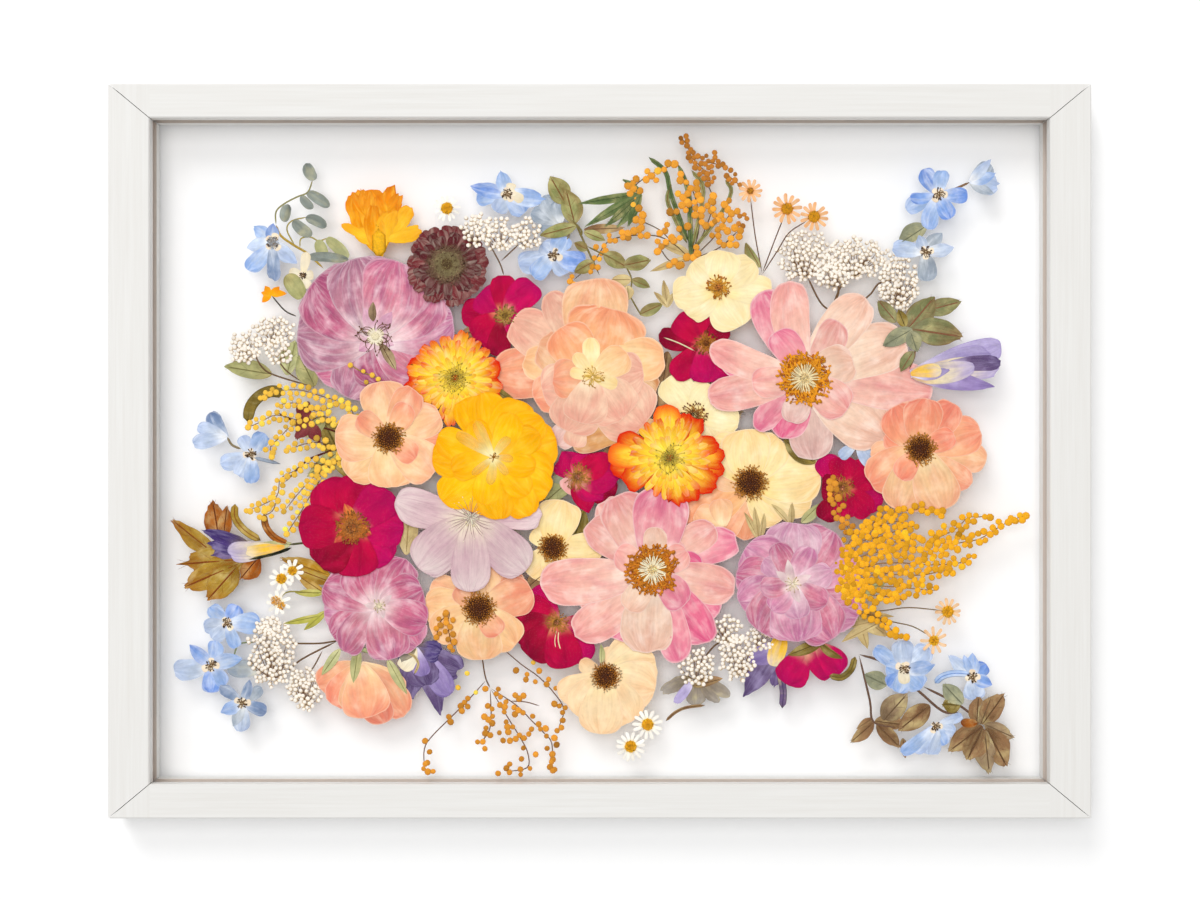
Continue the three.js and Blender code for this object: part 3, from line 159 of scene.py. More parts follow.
# %% [markdown]
# ## Colours
# A dried petal is pale at its claw, full in its middle and darker or lighter at its tip,
# with a thin dark rim where the tissue curled. Every look is those four colours and how
# sheer the petal is. They go onto the mesh as attributes, point by point, so that one
# petal finish serves all the flowers of a kind.
# %% Looks: claw, body, tip, rim, sheerness
LOOKS = {
    "blue": ("#eef2f8", "#aac4ec", "#8db0e8", "#7496d8", 0.12),
    "deep_blue": ("#c9d6ee", "#88abe8", "#6a92e0", "#587acc", 0.05),
    "pale_blue": ("#f4f4f4", "#cbdbf3", "#b4c9ee", "#9cb2e0", 0.28),
    "slate": ("#cfd8e6", "#8298ba", "#6b84b0", "#5a6f98", 0.1),
    "grey_blue": ("#dfe0de", "#b0bac4", "#98a9bd", "#8090a6", 0.25),
    "daffodil": ("#fbb40a", "#f99c0c", "#ee8512", "#d6720e", 0.0),
    "daffodil_yellow": ("#fbc22c", "#fcbc28", "#f9a824", "#e08a1a", 0.0),
    "daffodil_deep": ("#f59a0c", "#f08a12", "#e07410", "#c0620c", 0.0),
    "mauve": ("#f8e0de", "#dc8498", "#cc6c90", "#a05282", 0.05),
    "dark_mauve": ("#ecc4c8", "#c06282", "#aa5076", "#7c3e66", 0.0),
    "grey_mauve": ("#f2d8d6", "#d08ca0", "#b87892", "#86597a", 0.06),
    "rose_mauve": ("#f5d9d6", "#d2708c", "#c05a84", "#9a4472", 0.04),
    "pink_mauve": ("#fae6e6", "#e29cb2", "#d280a6", "#ac568c", 0.05),
    "pale_mauve": ("#fcf0ee", "#efbfce", "#e09cba", "#c074a2", 0.12),
    "crimson": ("#f2a070", "#c0083e", "#b40244", "#860434", 0.0),
    "magenta": ("#f2ac8c", "#c80c58", "#b4085c", "#8a0846", 0.0),
    "dark_crimson": ("#d07a58", "#a00a30", "#8c0430", "#5f0420", 0.0),
    "maroon": ("#84463e", "#7a3236", "#6c262c", "#401418", 0.0),
    "pink": ("#fee8d8", "#f6a0a8", "#ec7898", "#d45c84", 0.06),
    "deep_pink": ("#fbc8ba", "#f07c96", "#e65c8a", "#c44274", 0.03),
    "soft_pink": ("#feecd8", "#fbc2b0", "#f6a69e", "#e2808a", 0.1),
    "beige": ("#fef0de", "#fcd8be", "#f8c4ac", "#e0a48c", 0.1),
    "grey_pink": ("#f8e6d6", "#f0cabc", "#eab8b0", "#c89890", 0.16),
    "peach": ("#fde6b2", "#fccb98", "#f8b48a", "#ea9076", 0.04),
    "peach_coral": ("#fddca6", "#f9b488", "#f39676", "#e27262", 0.01),
    "coral": ("#fbcc98", "#f69c78", "#f0866e", "#da6a60", 0.0),
    "soft_peach": ("#fde2bc", "#fbcaac", "#f6b09a", "#ea8e80", 0.1),
    "orange_peach": ("#fbca86", "#f7b07c", "#f19a74", "#dc7450", 0.0),
    "apricot": ("#fde4a6", "#fcd098", "#f8ba86", "#ea9a70", 0.02),
    "pale_apricot": ("#fde2a4", "#fddeb0", "#fbd09e", "#e8ac7c", 0.02),
    "grey_taupe": ("#8a7862", "#a5988a", "#b5aca2", "#75685a", 0.1),
    "tan": ("#e9bf85", "#dca468", "#c98a55", "#b5523c", 0.0),
    "cream": ("#fadc84", "#feecba", "#fde4a8", "#ecca88", 0.03),
    "warm_cream": ("#fcd67c", "#fee4a6", "#fcd592", "#eeb678", 0.02),
    "scale": ("#f2d8ac", "#fbead0", "#fae4c8", "#d9b488", 0.0),
    "ivory": ("#f8e8bc", "#fbf0d6", "#f5e4c2", "#e2cca2", 0.14),
    "blush": ("#fbeed0", "#e8c8ca", "#fae6e2", "#bc8ea0", 0.12),
    "yellow": ("#ffd650", "#ffbe0c", "#fdae04", "#f08c08", 0.0),
    # glint: pale, sheer petals that are a painted highlight on shiny folds
    "glint": ("#fff2c0", "#ffe082", "#ffcd38", "#fdb818", 0.6),
    "flame": ("#fcd83c", "#fbc02a", "#e92e0c", "#d81c06", 0.0),
    "flame_yellow": ("#f6dc4c", "#fdd93a", "#fbac24", "#f0541a", 0.0),
    "claw_orange": ("#e06a20", "#ec7c3c", "#cc2448", "#b81844", 0.15),
    "black_green": ("#20261a", "#1f2416", "#2a2a1a", "#15180e", 0.0),
    "purple": ("#c4b6d0", "#6f5a82", "#5b4874", "#42325a", 0.0),
    "lilac": ("#efe6f2", "#a892c6", "#917cb6", "#6e589a", 0.1),
    "lavender": ("#f4eef8", "#cdbfe8", "#b8a8dc", "#9784c4", 0.3),
    "freesia_yellow": ("#f7c42c", "#f6e6c0", "#cdbfe6", "#8f7cc0", 0.1),
    "freesia_claw": ("#f7b40a", "#f9c840", "#f6e6c0", "#f0d48c", 0.0),
    "dark_iris": ("#8d7a58", "#503c7c", "#40306a", "#2c204e", 0.0),
    "dark_maroon": ("#6a3430", "#5f262a", "#521c22", "#331014", 0.0),
    "white_ray": ("#f8ecc4", "#fffaf0", "#fdf8ee", "#e0d4bc", 0.0),
    "orange_ray": ("#f0a04a", "#f8bf88", "#f6b47a", "#dc9250", 0.1),
    "straw_ray": ("#f3b66a", "#fad0a2", "#f8c48e", "#e0a066", 0.1),
    "olive": ("#b3a870", "#a5a470", "#adab70", "#7b7546", 0.0),
    "pale_green": ("#d2cf9c", "#bfc08a", "#b5b880", "#8d8a54", 0.05),
    "dark_green": ("#6a7648", "#5f7344", "#748858", "#45562f", 0.0),
    "sprig_green": ("#aaa470", "#8c9058", "#8f8a52", "#845c34", 0.0),
    "grey_green": ("#8c8a64", "#7e8156", "#7c7a4c", "#8a5a40", 0.0),
    "sepal_grey": ("#a9aa8e", "#9a9c80", "#8e917a", "#74765c", 0.0),
    "amber": ("#8c6a20", "#b08c34", "#a9661c", "#86420f", 0.0),
    "rust": ("#8a4216", "#b0621e", "#94480f", "#6a300c", 0.0),
    "ochre": ("#c9962f", "#b8851f", "#a9741c", "#855813", 0.0),
    "chartreuse": ("#b9b850", "#b4b048", "#a8a24a", "#86803a", 0.0),
    "olive_brown": ("#97803a", "#8a7434", "#7d6a34", "#5f4f22", 0.0),
    "pod": ("#8f9690", "#98a098", "#868f89", "#4a534e", 0.15),
    "olive_pod": ("#a3a372", "#989a68", "#8f925f", "#c9c79a", 0.0),
    "brown": ("#7c5a3e", "#98724f", "#a5805c", "#66482e", 0.0),
    "taupe": ("#8a7258", "#a08668", "#b0997a", "#6c553c", 0.0),
    "straw": ("#dcc593", "#d9c08a", "#c9ad77", "#a98c58", 0.05),
}
print("looks:", len(LOOKS))

# %% [markdown]
# ## Parts and their attributes
# A part is a handful of arrays: points in sheet millimetres, triangles, a flat map (uv)
# in units of 20 mm for the fibres, and for every point its tint, its rim colour, how far
# out it lies and how sheer it is. Only petals and leaves have rim colours of their own;
# all else is half as bright there. Parts kept as arrays make a flower a simple sum.
# %% Make a part
def part(points, faces, uv, tint, edge, rim, sheer, finish):
    """Arrays of one part, with single values spread over all of its points."""
    n = len(points)
    return {
        "points": points, "faces": faces, "uv": uv, "finish": finish,
        "tint": np.broadcast_to(tint, (n, 3)), "edge": np.broadcast_to(edge, (n, 3)),
        "rim": np.broadcast_to(rim, n), "sheer": np.broadcast_to(sheer, n),
    }


def blade(ax, ay, bx, by, width, outline, look, finish):
    """Petal or leaf. On the disc (du, dv): t = (1 + dv)/2 runs along, and
    du / sqrt(1 - dv^2) times the outline's half-width at t goes across."""
    length = np.hypot(bx - ax, by - ay)
    size = BROAD if width > 13 else MIDDLE if width > 5.5 else NARROW
    du, dv, side, faces = GRIDS[size]
    radius = np.hypot(du, dv)
    angle = np.arctan2(du, dv)
    waves = sum(rng.normal() * np.cos(k * angle + rng.uniform(0, 6.3)) / k ** 0.8
                for k in (3, 5, 8, 13))
    ragged = RAGGED.get(look, EVEN_RIM)
    du = du * (1 + ragged * waves * radius ** 2)
    t = (1 + dv) / 2
    chord = np.sqrt(np.maximum(1 - dv * dv, 1e-6))
    table = OUTLINES[outline]
    across = du / chord * np.interp(t, table[:, 0], table[:, 1]) * width
    t = t - ragged * np.abs(waves) * smooth(radius, 0.5, 1) * smooth(t, 0.55, 1)
    bend = rng.normal() * 0.03 * length * np.sin(np.pi * t)
    nx, ny = (by - ay) / length, (ax - bx) / length
    x = ax + t * (bx - ax) + (across + bend) * nx
    y = ay + t * (by - ay) + (across + bend) * ny
    ridge = 0.005 * np.cos(9 * du / chord + rng.uniform(0, 6)) * (1 - radius ** 4)
    z = 0.012 * side * (1 - radius ** 6) + ridge
    claw, body, tip, rim_colour = (linear(code) for code in LOOKS[look][:4])
    inner = smooth(t + 0.06 * waves, 0.02, CLAWS.get(look, LONG_CLAW))[:, None]
    lean = rng.normal() * 0.25
    outer = (smooth(t, 0.5, 1) * (0.85 + lean * du))[:, None]
    tint = claw + (body - claw) * inner
    tint = (tint + (tip - tint) * outer) * (1 + 0.05 * rng.normal())
    uv = np.column_stack([t * length, across / np.maximum(chord, 0.35)]) / UV_UNIT
    uv = uv + rng.uniform(0, 40, 2)
    sheer = LOOKS[look][4] * smooth(t, 0.1, 0.5)
    return part(np.column_stack([x, y, z]), faces, uv, np.clip(tint, 0, 1), rim_colour,
                radius, sheer, FAMILY.get(look, "leaf") if finish == "petal" else finish)


FAMILIES = {
    "blue_petals": ("blue", "deep_blue", "pale_blue", "slate", "grey_blue"),
    "mauve_petals": ("mauve", "dark_mauve", "grey_mauve", "rose_mauve", "pink_mauve", "pale_mauve"),
    "crimson_petals": ("crimson", "magenta", "dark_crimson"),
    "maroon_bracts": ("maroon", "dark_maroon"),
    "pink_petals": ("pink", "deep_pink", "soft_pink", "beige", "grey_pink", "blush"),
    "peach_petals": ("peach", "peach_coral", "coral", "orange_peach", "apricot", "soft_peach",
                     "pale_apricot", "tan"),
    "cream_petals": ("cream", "warm_cream", "ivory", "scale"),
    "orange_petals": ("daffodil", "daffodil_deep", "daffodil_yellow", "claw_orange"),
    "flame_petals": ("flame", "flame_yellow"),
    "yellow_petals": ("yellow", "glint"),
    "purple_petals": ("purple", "lilac", "lavender", "freesia_yellow", "freesia_claw", "dark_iris"),
}
FAMILY = {look: finish for finish, looks in FAMILIES.items() for look in looks}
CLAWS = {"crimson": 0.34, "magenta": 0.34, "dark_crimson": 0.3}
LONG_CLAW, EVEN_RIM = 0.5, 0.035
RAGGED = {"daffodil": 0.14, "daffodil_deep": 0.17, "daffodil_yellow": 0.12, "flame": 0.12,
          "flame_yellow": 0.08, "grey_taupe": 0.12, "amber": 0.13, "rust": 0.13, "brown": 0.09,
          "taupe": 0.09, "maroon": 0.1, "dark_maroon": 0.1, "blue": 0.06, "pale_blue": 0.06,
          "purple": 0.1, "dark_iris": 0.1, "slate": 0.08, "lavender": 0.06, "dark_green": 0.1,
          "grey_green": 0.07, "sprig_green": 0.06, "ochre": 0.1}
trial = blade(0, 0, 0, 20, 14, "round", "mauve", "petal")
print("one petal:", len(trial["faces"]), "faces,", np.ptp(trial["points"], axis=0).round(2), "mm")

# %% [markdown]
# ## Swept stems and scattered grains
# Stems, twigs, stamens and fibres are thin rods pressed a little flat: a ring carried
# along a smooth path, narrowing to a point at each end so that both ends are closed.
# Balls, buds, anthers and the florets of a disc are one small grain repeated; a grain has
# a few dozen faces, because there are thousands of them.
# %% Rods and grains
def tube_faces(rings, sides):
    """Walls between rings, and a fan at each end to the two points after the last ring."""
    i, j = np.meshgrid(np.arange(rings - 1), np.arange(sides), indexing="ij")
    a, b = i * sides + j, i * sides + (j + 1) % sides
    walls = [np.stack(face, -1).reshape(-1, 3)
             for face in ((a, a + sides, b), (b, a + sides, b + sides))]
    j, n = np.arange(sides), rings * sides
    ahead = (j + 1) % sides
    base = np.stack([np.full(sides, n), j, ahead], -1)
    tip = np.stack([np.full(sides, n + 1), n - sides + ahead, n - sides + j], -1)
    return np.concatenate([*walls, base, tip])


def bent_path(line, per_span=4):
    """Smooth path through the points: Catmull-Rom, each span a cubic of four points."""
    p = np.asarray(line, float)
    p = np.vstack([2 * p[0] - p[1], p, 2 * p[-1] - p[-2]])
    k = np.linspace(0, 1, per_span, endpoint=False)[:, None]
    spans = [
        0.5 * (2 * b + (c - a) * k + (2 * a - 5 * b + 4 * c - d) * k ** 2
               + (3 * b - a - 3 * c + d) * k ** 3)
        for a, b, c, d in zip(p[:-3], p[1:-2], p[2:-1], p[3:])
    ]
    return np.vstack([*spans, p[-2]])


def rod(path, width, colour, finish, rise=0.0, thick=0.45, sides=6):
    """Ring of the given width carried along a path; half-width times
    (1 - (2s - 1)^8)^0.5, so that both ends close, s being the share of the way."""
    path = np.asarray(path, float)
    if path.shape[1] == 2:
        path = np.column_stack([path, np.full(len(path), rise)])
    way = np.gradient(path, axis=0)
    way /= np.maximum(np.linalg.norm(way, axis=1), 1e-9)[:, None]
    s = np.linspace(0, 1, len(path))
    half = 0.5 * width * np.sqrt(np.maximum(1 - (2 * s - 1) ** 8, 0))
    turn = np.linspace(0, 2 * np.pi, sides, endpoint=False)
    sideways = np.column_stack([-way[:, 1], way[:, 0], np.zeros(len(path))])
    ring = (np.cos(turn)[None, :, None] * sideways[:, None]
            + np.sin(turn)[None, :, None] * np.array([0, 0, -thick]))
    points = path[1:-1, None] + half[1:-1, None, None] * ring[1:-1]
    points = np.vstack([points.reshape(-1, 3), path[0], path[-1]])
    faces = tube_faces(len(path) - 2, sides)
    return part(points, faces, points[:, :2] / UV_UNIT, colour, colour * RIM_SHADE,
                0.0, 0.0, finish)


def grain_mesh(around, rows):
    """Unit ball: rings at equal angles, one fewer than the rows, between two poles."""
    turn = np.linspace(0, 2 * np.pi, around, endpoint=False)
    drop = np.linspace(0, np.pi, rows + 1)[1:-1]
    ring = np.stack([np.outer(np.sin(drop), np.cos(turn)), np.outer(np.sin(drop), np.sin(turn)),
                     np.outer(np.cos(drop), np.ones(around))], -1).reshape(-1, 3)
    return np.vstack([ring, [0, 0, 1], [0, 0, -1]]), tube_faces(rows - 1, around)


GRAINS = {"bead": grain_mesh(8, 5), "speck": grain_mesh(5, 3)}


def grains(places, radii, colours, finish, kind="speck", turns=None):
    """One unit ball per place, scaled by its own radii and turned in the sheet."""
    ball, faces = GRAINS[kind]
    places = np.asarray(places, float)
    radii = np.broadcast_to(radii, (len(places), 3))
    points = ball[None] * radii[:, None]
    if turns is not None:
        c, s = np.cos(turns)[:, None], np.sin(turns)[:, None]
        points = np.stack([c * points[..., 0] - s * points[..., 1],
                           s * points[..., 0] + c * points[..., 1], points[..., 2]], -1)
    points = (places[:, None] + points).reshape(-1, 3)
    faces = (faces[None] + np.arange(len(places))[:, None, None] * len(ball)).reshape(-1, 3)
    tint = np.repeat(np.broadcast_to(colours, (len(places), 3)), len(ball), 0)
    rim = np.tile(1 - np.abs(ball[:, 2]), len(places))
    return part(points, faces, points[:, :2] / UV_UNIT, tint, tint * RIM_SHADE, rim, 0.0, finish)


print("faces of a grain:", {kind: len(mesh[1]) for kind, mesh in GRAINS.items()})

# %% [markdown]
# ## Petals, leaves and stems
# These helpers take the same few numbers as the solids do: the base, then each tip with
# the petal's greatest width. One look serves all the petals of a call, or each petal has
# its own. A leaf gets a raised midrib and a few side veins on top of its blade.
# %% Helpers for blades
def look_of(look, i):
    """One look for all, or the next of a list that goes round."""
    return look if isinstance(look, str) else look[i % len(look)]


def several(x, y, tips, look, outline, finish):
    """Blades from one base, each given by its tip and greatest width."""
    return [blade(x, y, bx, by, w, outline, look_of(look, i), finish)
            for i, (bx, by, w) in enumerate(tips)]


def petals(x, y, tips, look, finish="petal"):
    """Rounded blades, widest beyond their middle."""
    return several(x, y, tips, look, "round", finish)


def pointed(x, y, tips, look):
    """Blades that end in a point."""
    return several(x, y, tips, look, "pointed", "petal")


def fronds(x, y, tips, look):
    """Narrow leaves with many side veins."""
    return [p for bx, by, w in tips for p in leaf(x, y, bx, by, w, look, veins=9)]


def pods(lines, look, finish="leaf"):
    """Blunt blades, each with its own base, tip and width."""
    return [blade(*line, "pod", look, finish) for line in lines]


def vein_rods(ax, ay, bx, by, w, colour, veins):
    """Midrib, and side veins that leave it at even steps and slant to the rim."""
    start, way = np.array([ax, ay]), np.array([bx - ax, by - ay])
    normal = np.array([-way[1], way[0]]) / np.hypot(*way)
    share = np.linspace(0.02, 0.95, 7)[:, None]
    ribs = [rod(start + share * way, 0.05 * w + 0.15, colour, "stem", rise=0.012, thick=0.08)]
    for i in range(veins):
        t = 0.16 + 0.62 * i / max(veins - 1, 1)
        for sign in (-1, 1):
            k = np.linspace(0, 1, 5)[:, None]
            reach = 0.34 * w * np.sin(np.pi * min(t + 0.12, 1)) ** 0.6
            line = start + (t + 0.2 * k ** 0.8) * way + sign * reach * k * normal
            ribs.append(rod(line, 0.14, colour, "stem", rise=0.012, thick=0.1, sides=4))
    return ribs


def leaf(ax, ay, bx, by, w, look, veins=0):
    """Blade from base to tip with its midrib; broad leaves have side veins too."""
    veins = veins or (3 if w > 6 else 0)
    return [blade(ax, ay, bx, by, w, "leaf", look, "leaf"),
            *vein_rods(ax, ay, bx, by, w, linear(LOOKS[look][3]), veins)]


def stem(w, line, colour):
    """Flat rod of width w along the line's smooth path."""
    return [rod(bent_path(line), w, linear(colour), "stem", -0.05, thick=0.3)]


def strap(w, line, look, finish="leaf"):
    """A long curled leaf: a broad, very flat rod with a rib along it."""
    body = rod(bent_path(line), w, linear(LOOKS[look][1]), finish, thick=0.03, sides=8)
    rib = rod(bent_path(line), 0.4, linear(LOOKS[look][3]), "stem", rise=0.07, thick=0.1)
    return [body, rib]


print("a leaf is", len(leaf(0, 0, 20, 4, 8, "olive")), "parts")

# %% [markdown]
# ## Hearts, stamens and rays
# The middle of a bloom is what the eye goes to. A heart is built up as the real one is: a
# low cushion, florets packed on it in the spiral that seeds follow (each one turned by
# 137.5 degrees, at a distance that grows with the square root of its number), and around
# them stamens, which are fine curved rods with an anther at the end.
# %% Helpers for the middles
def cushion(x, y, r, colour, high=0.25):
    """One flat dome of radius r."""
    return [grains([[x, y, 0.02]], [r, r, high], linear(colour), "heart", "bead")]


def disc(x, y, r, inner, outer, count, size, dome=0.25):
    """Florets at radius r*sqrt(i/count), turned by 2.4 radians each, on a low dome."""
    i = np.arange(count) + 0.5
    share = np.sqrt(i / count)
    turn = GOLDEN_ANGLE * i
    wander = rng.normal(0, 0.12 * size, (count, 2))
    places = np.column_stack([x + r * share * np.cos(turn), y + r * share * np.sin(turn),
                              dome * (1 - share ** 2) + 0.1])
    places[:, :2] += wander
    colours = linear(inner) + (linear(outer) - linear(inner)) * share[:, None] ** 1.5
    colours = np.clip(colours * (1 + 0.3 * rng.normal(size=(count, 1))), 0.01, 1)
    radii = size * (0.8 + 0.4 * rng.random((count, 1))) * np.array([1, 0.8, 0.5])
    return [grains(places, radii, colours, "heart", turns=turn)]


def stamens(x, y, count, inner, outer, thread, anther, size, curl=0.35, width=0.28):
    """Rods from the inner to about the outer radius, each curling by a random share of a
    turn: angle = start + curl * k^2, radius = inner + (outer - inner) * k."""
    parts, ends = [], []
    k = np.linspace(0, 1, 6)
    for i in range(count):
        start = 2 * np.pi * (i + rng.uniform(-0.4, 0.4)) / count
        reach = outer * rng.uniform(0.78, 1.05)
        angle = start + curl * rng.normal() * k * k
        radius = inner + (reach - inner) * k
        path = np.column_stack([x + radius * np.cos(angle), y + radius * np.sin(angle),
                                0.18 + 0.12 * np.sin(np.pi * k)])
        parts.append(rod(path, width, linear(thread) * rng.uniform(0.8, 1.15), "stem", sides=4))
        ends.append([*path[-1], angle[-1]])
    ends = np.array(ends)
    radii = size * np.array([1.3, 0.75, 0.4]) * rng.uniform(0.7, 1.2, (count, 1))
    colours = linear(anther) * rng.uniform(0.7, 1.25, (count, 1))
    ends[:, 2] += 0.05
    return [*parts, grains(ends[:, :3], radii, colours, "heart", turns=ends[:, 3])]


def rays(x, y, count, inner, outer, w, turn, look):
    """Blades from the inner to the outer radius, all round, each a little askew."""
    whole = []
    for i in range(count):
        angle = np.radians(turn + 360 * i / count + rng.normal() * 3)
        c, s = np.cos(angle), np.sin(angle)
        reach = outer * rng.uniform(0.93, 1.0)
        whole.append(blade(x + inner * c, y + inner * s, x + reach * c, y + reach * s, w,
                           "ray", look_of(look, i), "ray"))
    return whole


def daisy(x, y, count, inner, outer, w, turn, look="white_ray", middle="#ffc42c"):
    """A ring of rays round a domed disc of florets."""
    return [*rays(x, y, count, 0.7 * inner, outer, 0.72 * w, turn, look),
            *cushion(x, y, inner + 0.7, "#f2ac1e"),
            *disc(x, y, inner + 0.6, "#c98a1c", middle, 70, size=0.36)]


def dark_disc(x, y, r, halo="#c98a34"):
    """The brown button of a cream or peach bloom, with a fringe of golden stamens."""
    return [*stamens(x, y, int(7 * r), 0.6 * r, 1.12 * r, "#a86c2a", halo, 0.5, 0.3, 0.34),
            *cushion(x, y, 0.88 * r, "#4a2410"),
            *disc(x, y, 0.97 * r, "#5a2e12", "#c07c2a", int(18 * r), 0.54, 0.16)]


def crown(x, y, r, gold, thread="#f6e2b0"):
    """A peony's middle: cream threads out from the centre, then curled golden anthers."""
    return [*cushion(x, y, 0.78 * r, "#c07c20", high=0.12),
            *stamens(x, y, int(4.6 * r), 0.45 * r, 1.0 * r, gold, gold, 1.05, 0.5, 1.0),
            *stamens(x, y, int(2.6 * r), 0.55 * r, 0.86 * r, "#c26a14", "#b8621a", 0.9, 0.6, 0.7),
            *stamens(x, y, int(4 * r), 0.08 * r, 0.72 * r, thread, "#eba534", 0.62, 0.25, 0.5),
            *cushion(x, y, 0.2 * r, "#e8c987"),
            *disc(x, y, 0.22 * r, "#fbe9b8", "#d9a040", 34, 0.5)]


def small_heart(x, y, r):
    """A floret's middle: a few pale scales and a knot of dark stamens."""
    scales = [[x + r * reach * np.cos(a), y + r * reach * np.sin(a), r * reach * 0.75]
              for a, reach in zip(rng.uniform(0, 6.3) + np.array([0, 1.1, 2.6, 4.3]),
                                  rng.uniform(1.0, 1.9, 4))]
    blades = [blade(x, y, bx, by, w, "round", "scale", "petal") for bx, by, w in scales]
    return [*blades, *stamens(x, y, 16, 0.2, r, "#7a5a34", "#4a3424", 0.46, 0.6, 0.3)]


print("a daisy is", len(daisy(0, 0, 12, 2.5, 7, 2.4, 0)), "parts")

# %% [markdown]
# ## Balls and buds
# Mimosa carries fluffy balls 3 to 4 mm across on short stalks; the pressing flattens
# them. Rice flower ends in flat heads of white buds, 2 mm across, on forking brown
# stalks. Both are scattered by a seeded generator along lines and over ovals that lie
# inside the solids, so they come out the same each time.
# %% Helpers for twigs and bud heads
BALL = {"gold": "#fbc648", "amber": "#eda034", "dense": "#f0aa1e", "brown": "#c07a2c",
        "dull": "#d68e2c"}
FLAT_BALL, FLAT_BUD = np.array([1, 0.94, 0.22]), np.array([1, 0.94, 0.24])
BUD_GAP, TRIES, BARK = 1.62, 6, "#7a4a1c"


def balls(places, tone, radius):
    """A ball at each place, no two quite the same size or shade."""
    n = len(places)
    places = np.column_stack([places, 0.25 + 0.25 * rng.random(n)])
    colours = np.clip(linear(BALL[tone]) * (1 + 0.16 * rng.normal(size=(n, 1))), 0, 1)
    radii = radius * rng.uniform(0.78, 1.12, (n, 1)) * FLAT_BALL
    return [grains(places, radii, colours, "ball", "bead", rng.uniform(0, 3, n))]


def bunches(spots, tone, radius):
    """Balls in a small spiral around each spot, as where a stalk forks: ball j lies at
    0.95 * radius * sqrt(j + 0.3), turned by 2.4 * j. A spot is x, y and how many balls."""
    places = []
    for x, y, count in spots:
        j = np.arange(count)
        turn, reach = rng.uniform(0, 6.3) + 2.4 * j, 0.95 * radius * np.sqrt(j + 0.3)
        places.append(np.column_stack([x + reach * np.cos(turn), y + reach * np.sin(turn)]))
    return balls(np.vstack(places), tone, radius)


def stations(line, step):
    """Points every step mm along the smooth path, with the path's direction at each."""
    path = bent_path(line, 8)
    walked = np.concatenate([[0], np.cumsum(np.hypot(*np.diff(path, axis=0).T))])
    at = np.arange(step * 0.6, walked[-1] + 0.01, step)
    spots = np.column_stack([np.interp(at, walked, path[:, i]) for i in range(2)])
    ways = np.gradient(spots, axis=0) if len(spots) > 1 else np.ones_like(spots)
    return spots, ways / np.maximum(np.hypot(*ways.T), 1e-9)[:, None]


def twig(line, tone="gold", step=1.75, reach=2.3):
    """A thin stem with balls on short stalks to its left and right by turns."""
    spots, ways = stations(line, step)
    side = np.where(np.arange(len(spots)) % 2, 1, -1) * rng.uniform(0.35, 1, len(spots))
    side[-1] = 0
    out = np.column_stack([-ways[:, 1], ways[:, 0]]) * (side * reach)[:, None]
    tips = spots + out + 0.6 * ways
    stalks = [rod([a, (a + b) / 2 + 0.1, b], 0.22, linear(BARK), "stem", 0.1, sides=4)
              for a, b in zip(spots, tips)]
    return [*stem(0.42, line, BARK), *stalks, *balls(tips, tone, 1.7)]


def apart(places, gap):
    """Mask that drops each place nearer than the gap to one kept before it."""
    keep = np.ones(len(places), bool)
    for i in range(1, len(places)):
        near = np.hypot(*(places[:i, :2] - places[i, :2]).T) < gap
        keep[i] = not np.any(near & keep[:i])
    return keep


def plume(w, line, gap, radius, tone="dense", share=1.0):
    """A stem hidden by balls: six are tried at each station, across about its width."""
    spots, ways = stations(line, 1.3 / share)
    n = len(spots)
    taper = 1 - 0.6 * np.linspace(0, 1, n) ** 3
    across = np.concatenate([rng.uniform(-0.55, 0.55, n) * w * taper for _ in range(TRIES)])
    normal = np.tile(np.column_stack([-ways[:, 1], ways[:, 0]]), (TRIES, 1))
    places = np.tile(spots, (TRIES, 1)) + normal * across[:, None]
    places = places + rng.normal(0, 0.4, places.shape)
    places = places[rng.permutation(len(places))]
    return [*stem(0.5, line, "#9a6a2c"), *balls(places[apart(places, gap)], tone, radius)]


def cluster(x, y, rx, ry, bumps, density=1.0):
    """Buds at even random spots of an oval (radius sqrt(a) and angle b, both random), each
    on its brown calyx, pushed towards the foot so that it is also painted shade below the
    bud, with twigs from the foot of the head to every third bud."""
    n = int(density * 4 * rx * ry)
    a, b = rng.random(n), rng.uniform(0, 2 * np.pi, n)
    reach = np.sqrt(a) * (1 - 0.1 * np.cos(bumps * b))
    places = np.column_stack([x + rx * reach * np.cos(b), y + ry * reach * np.sin(b),
                              0.22 + 0.16 * rng.random(n)])
    places = places[apart(places, BUD_GAP)]
    n = len(places)
    pale = linear("#fff5e8") * (1 - 0.2 * rng.random((n, 1)) ** 3)
    radii = rng.uniform(0.92, 1.2, (n, 1)) * FLAT_BUD
    foot = np.array([x, y - 0.8 * ry])
    inward = foot - places[:, :2]
    inward /= np.maximum(np.hypot(*inward.T), 1e-6)[:, None]
    # the calyx: a larger tan grain behind each bud, shifted towards the foot; it is also painted
    # shade
    calyx_shade = places - [0, 0, 0.12]
    calyx_shade[:, :2] += 0.32 * inward
    twigs = []
    for spot in places[::3, :2]:
        k = np.linspace(0, 1, 5)[:, None]
        path = foot + (spot - foot) * k + np.array([0.12 * (spot[0] - x), 0]) * np.sin(np.pi * k)
        twigs.append(rod(path, 0.4, linear("#7d5c40"), "stem", 0.04, sides=4))
    return [*twigs, grains(calyx_shade, 1.15 * radii, linear("#d4bc9c"), "heart", "bead"),
            grains(places, radii, pale, "bud", "bead", rng.uniform(0, 6, n))]


print("a bud head is", len(cluster(0, 0, 8, 8, 7)[-1]["faces"]), "faces of buds")

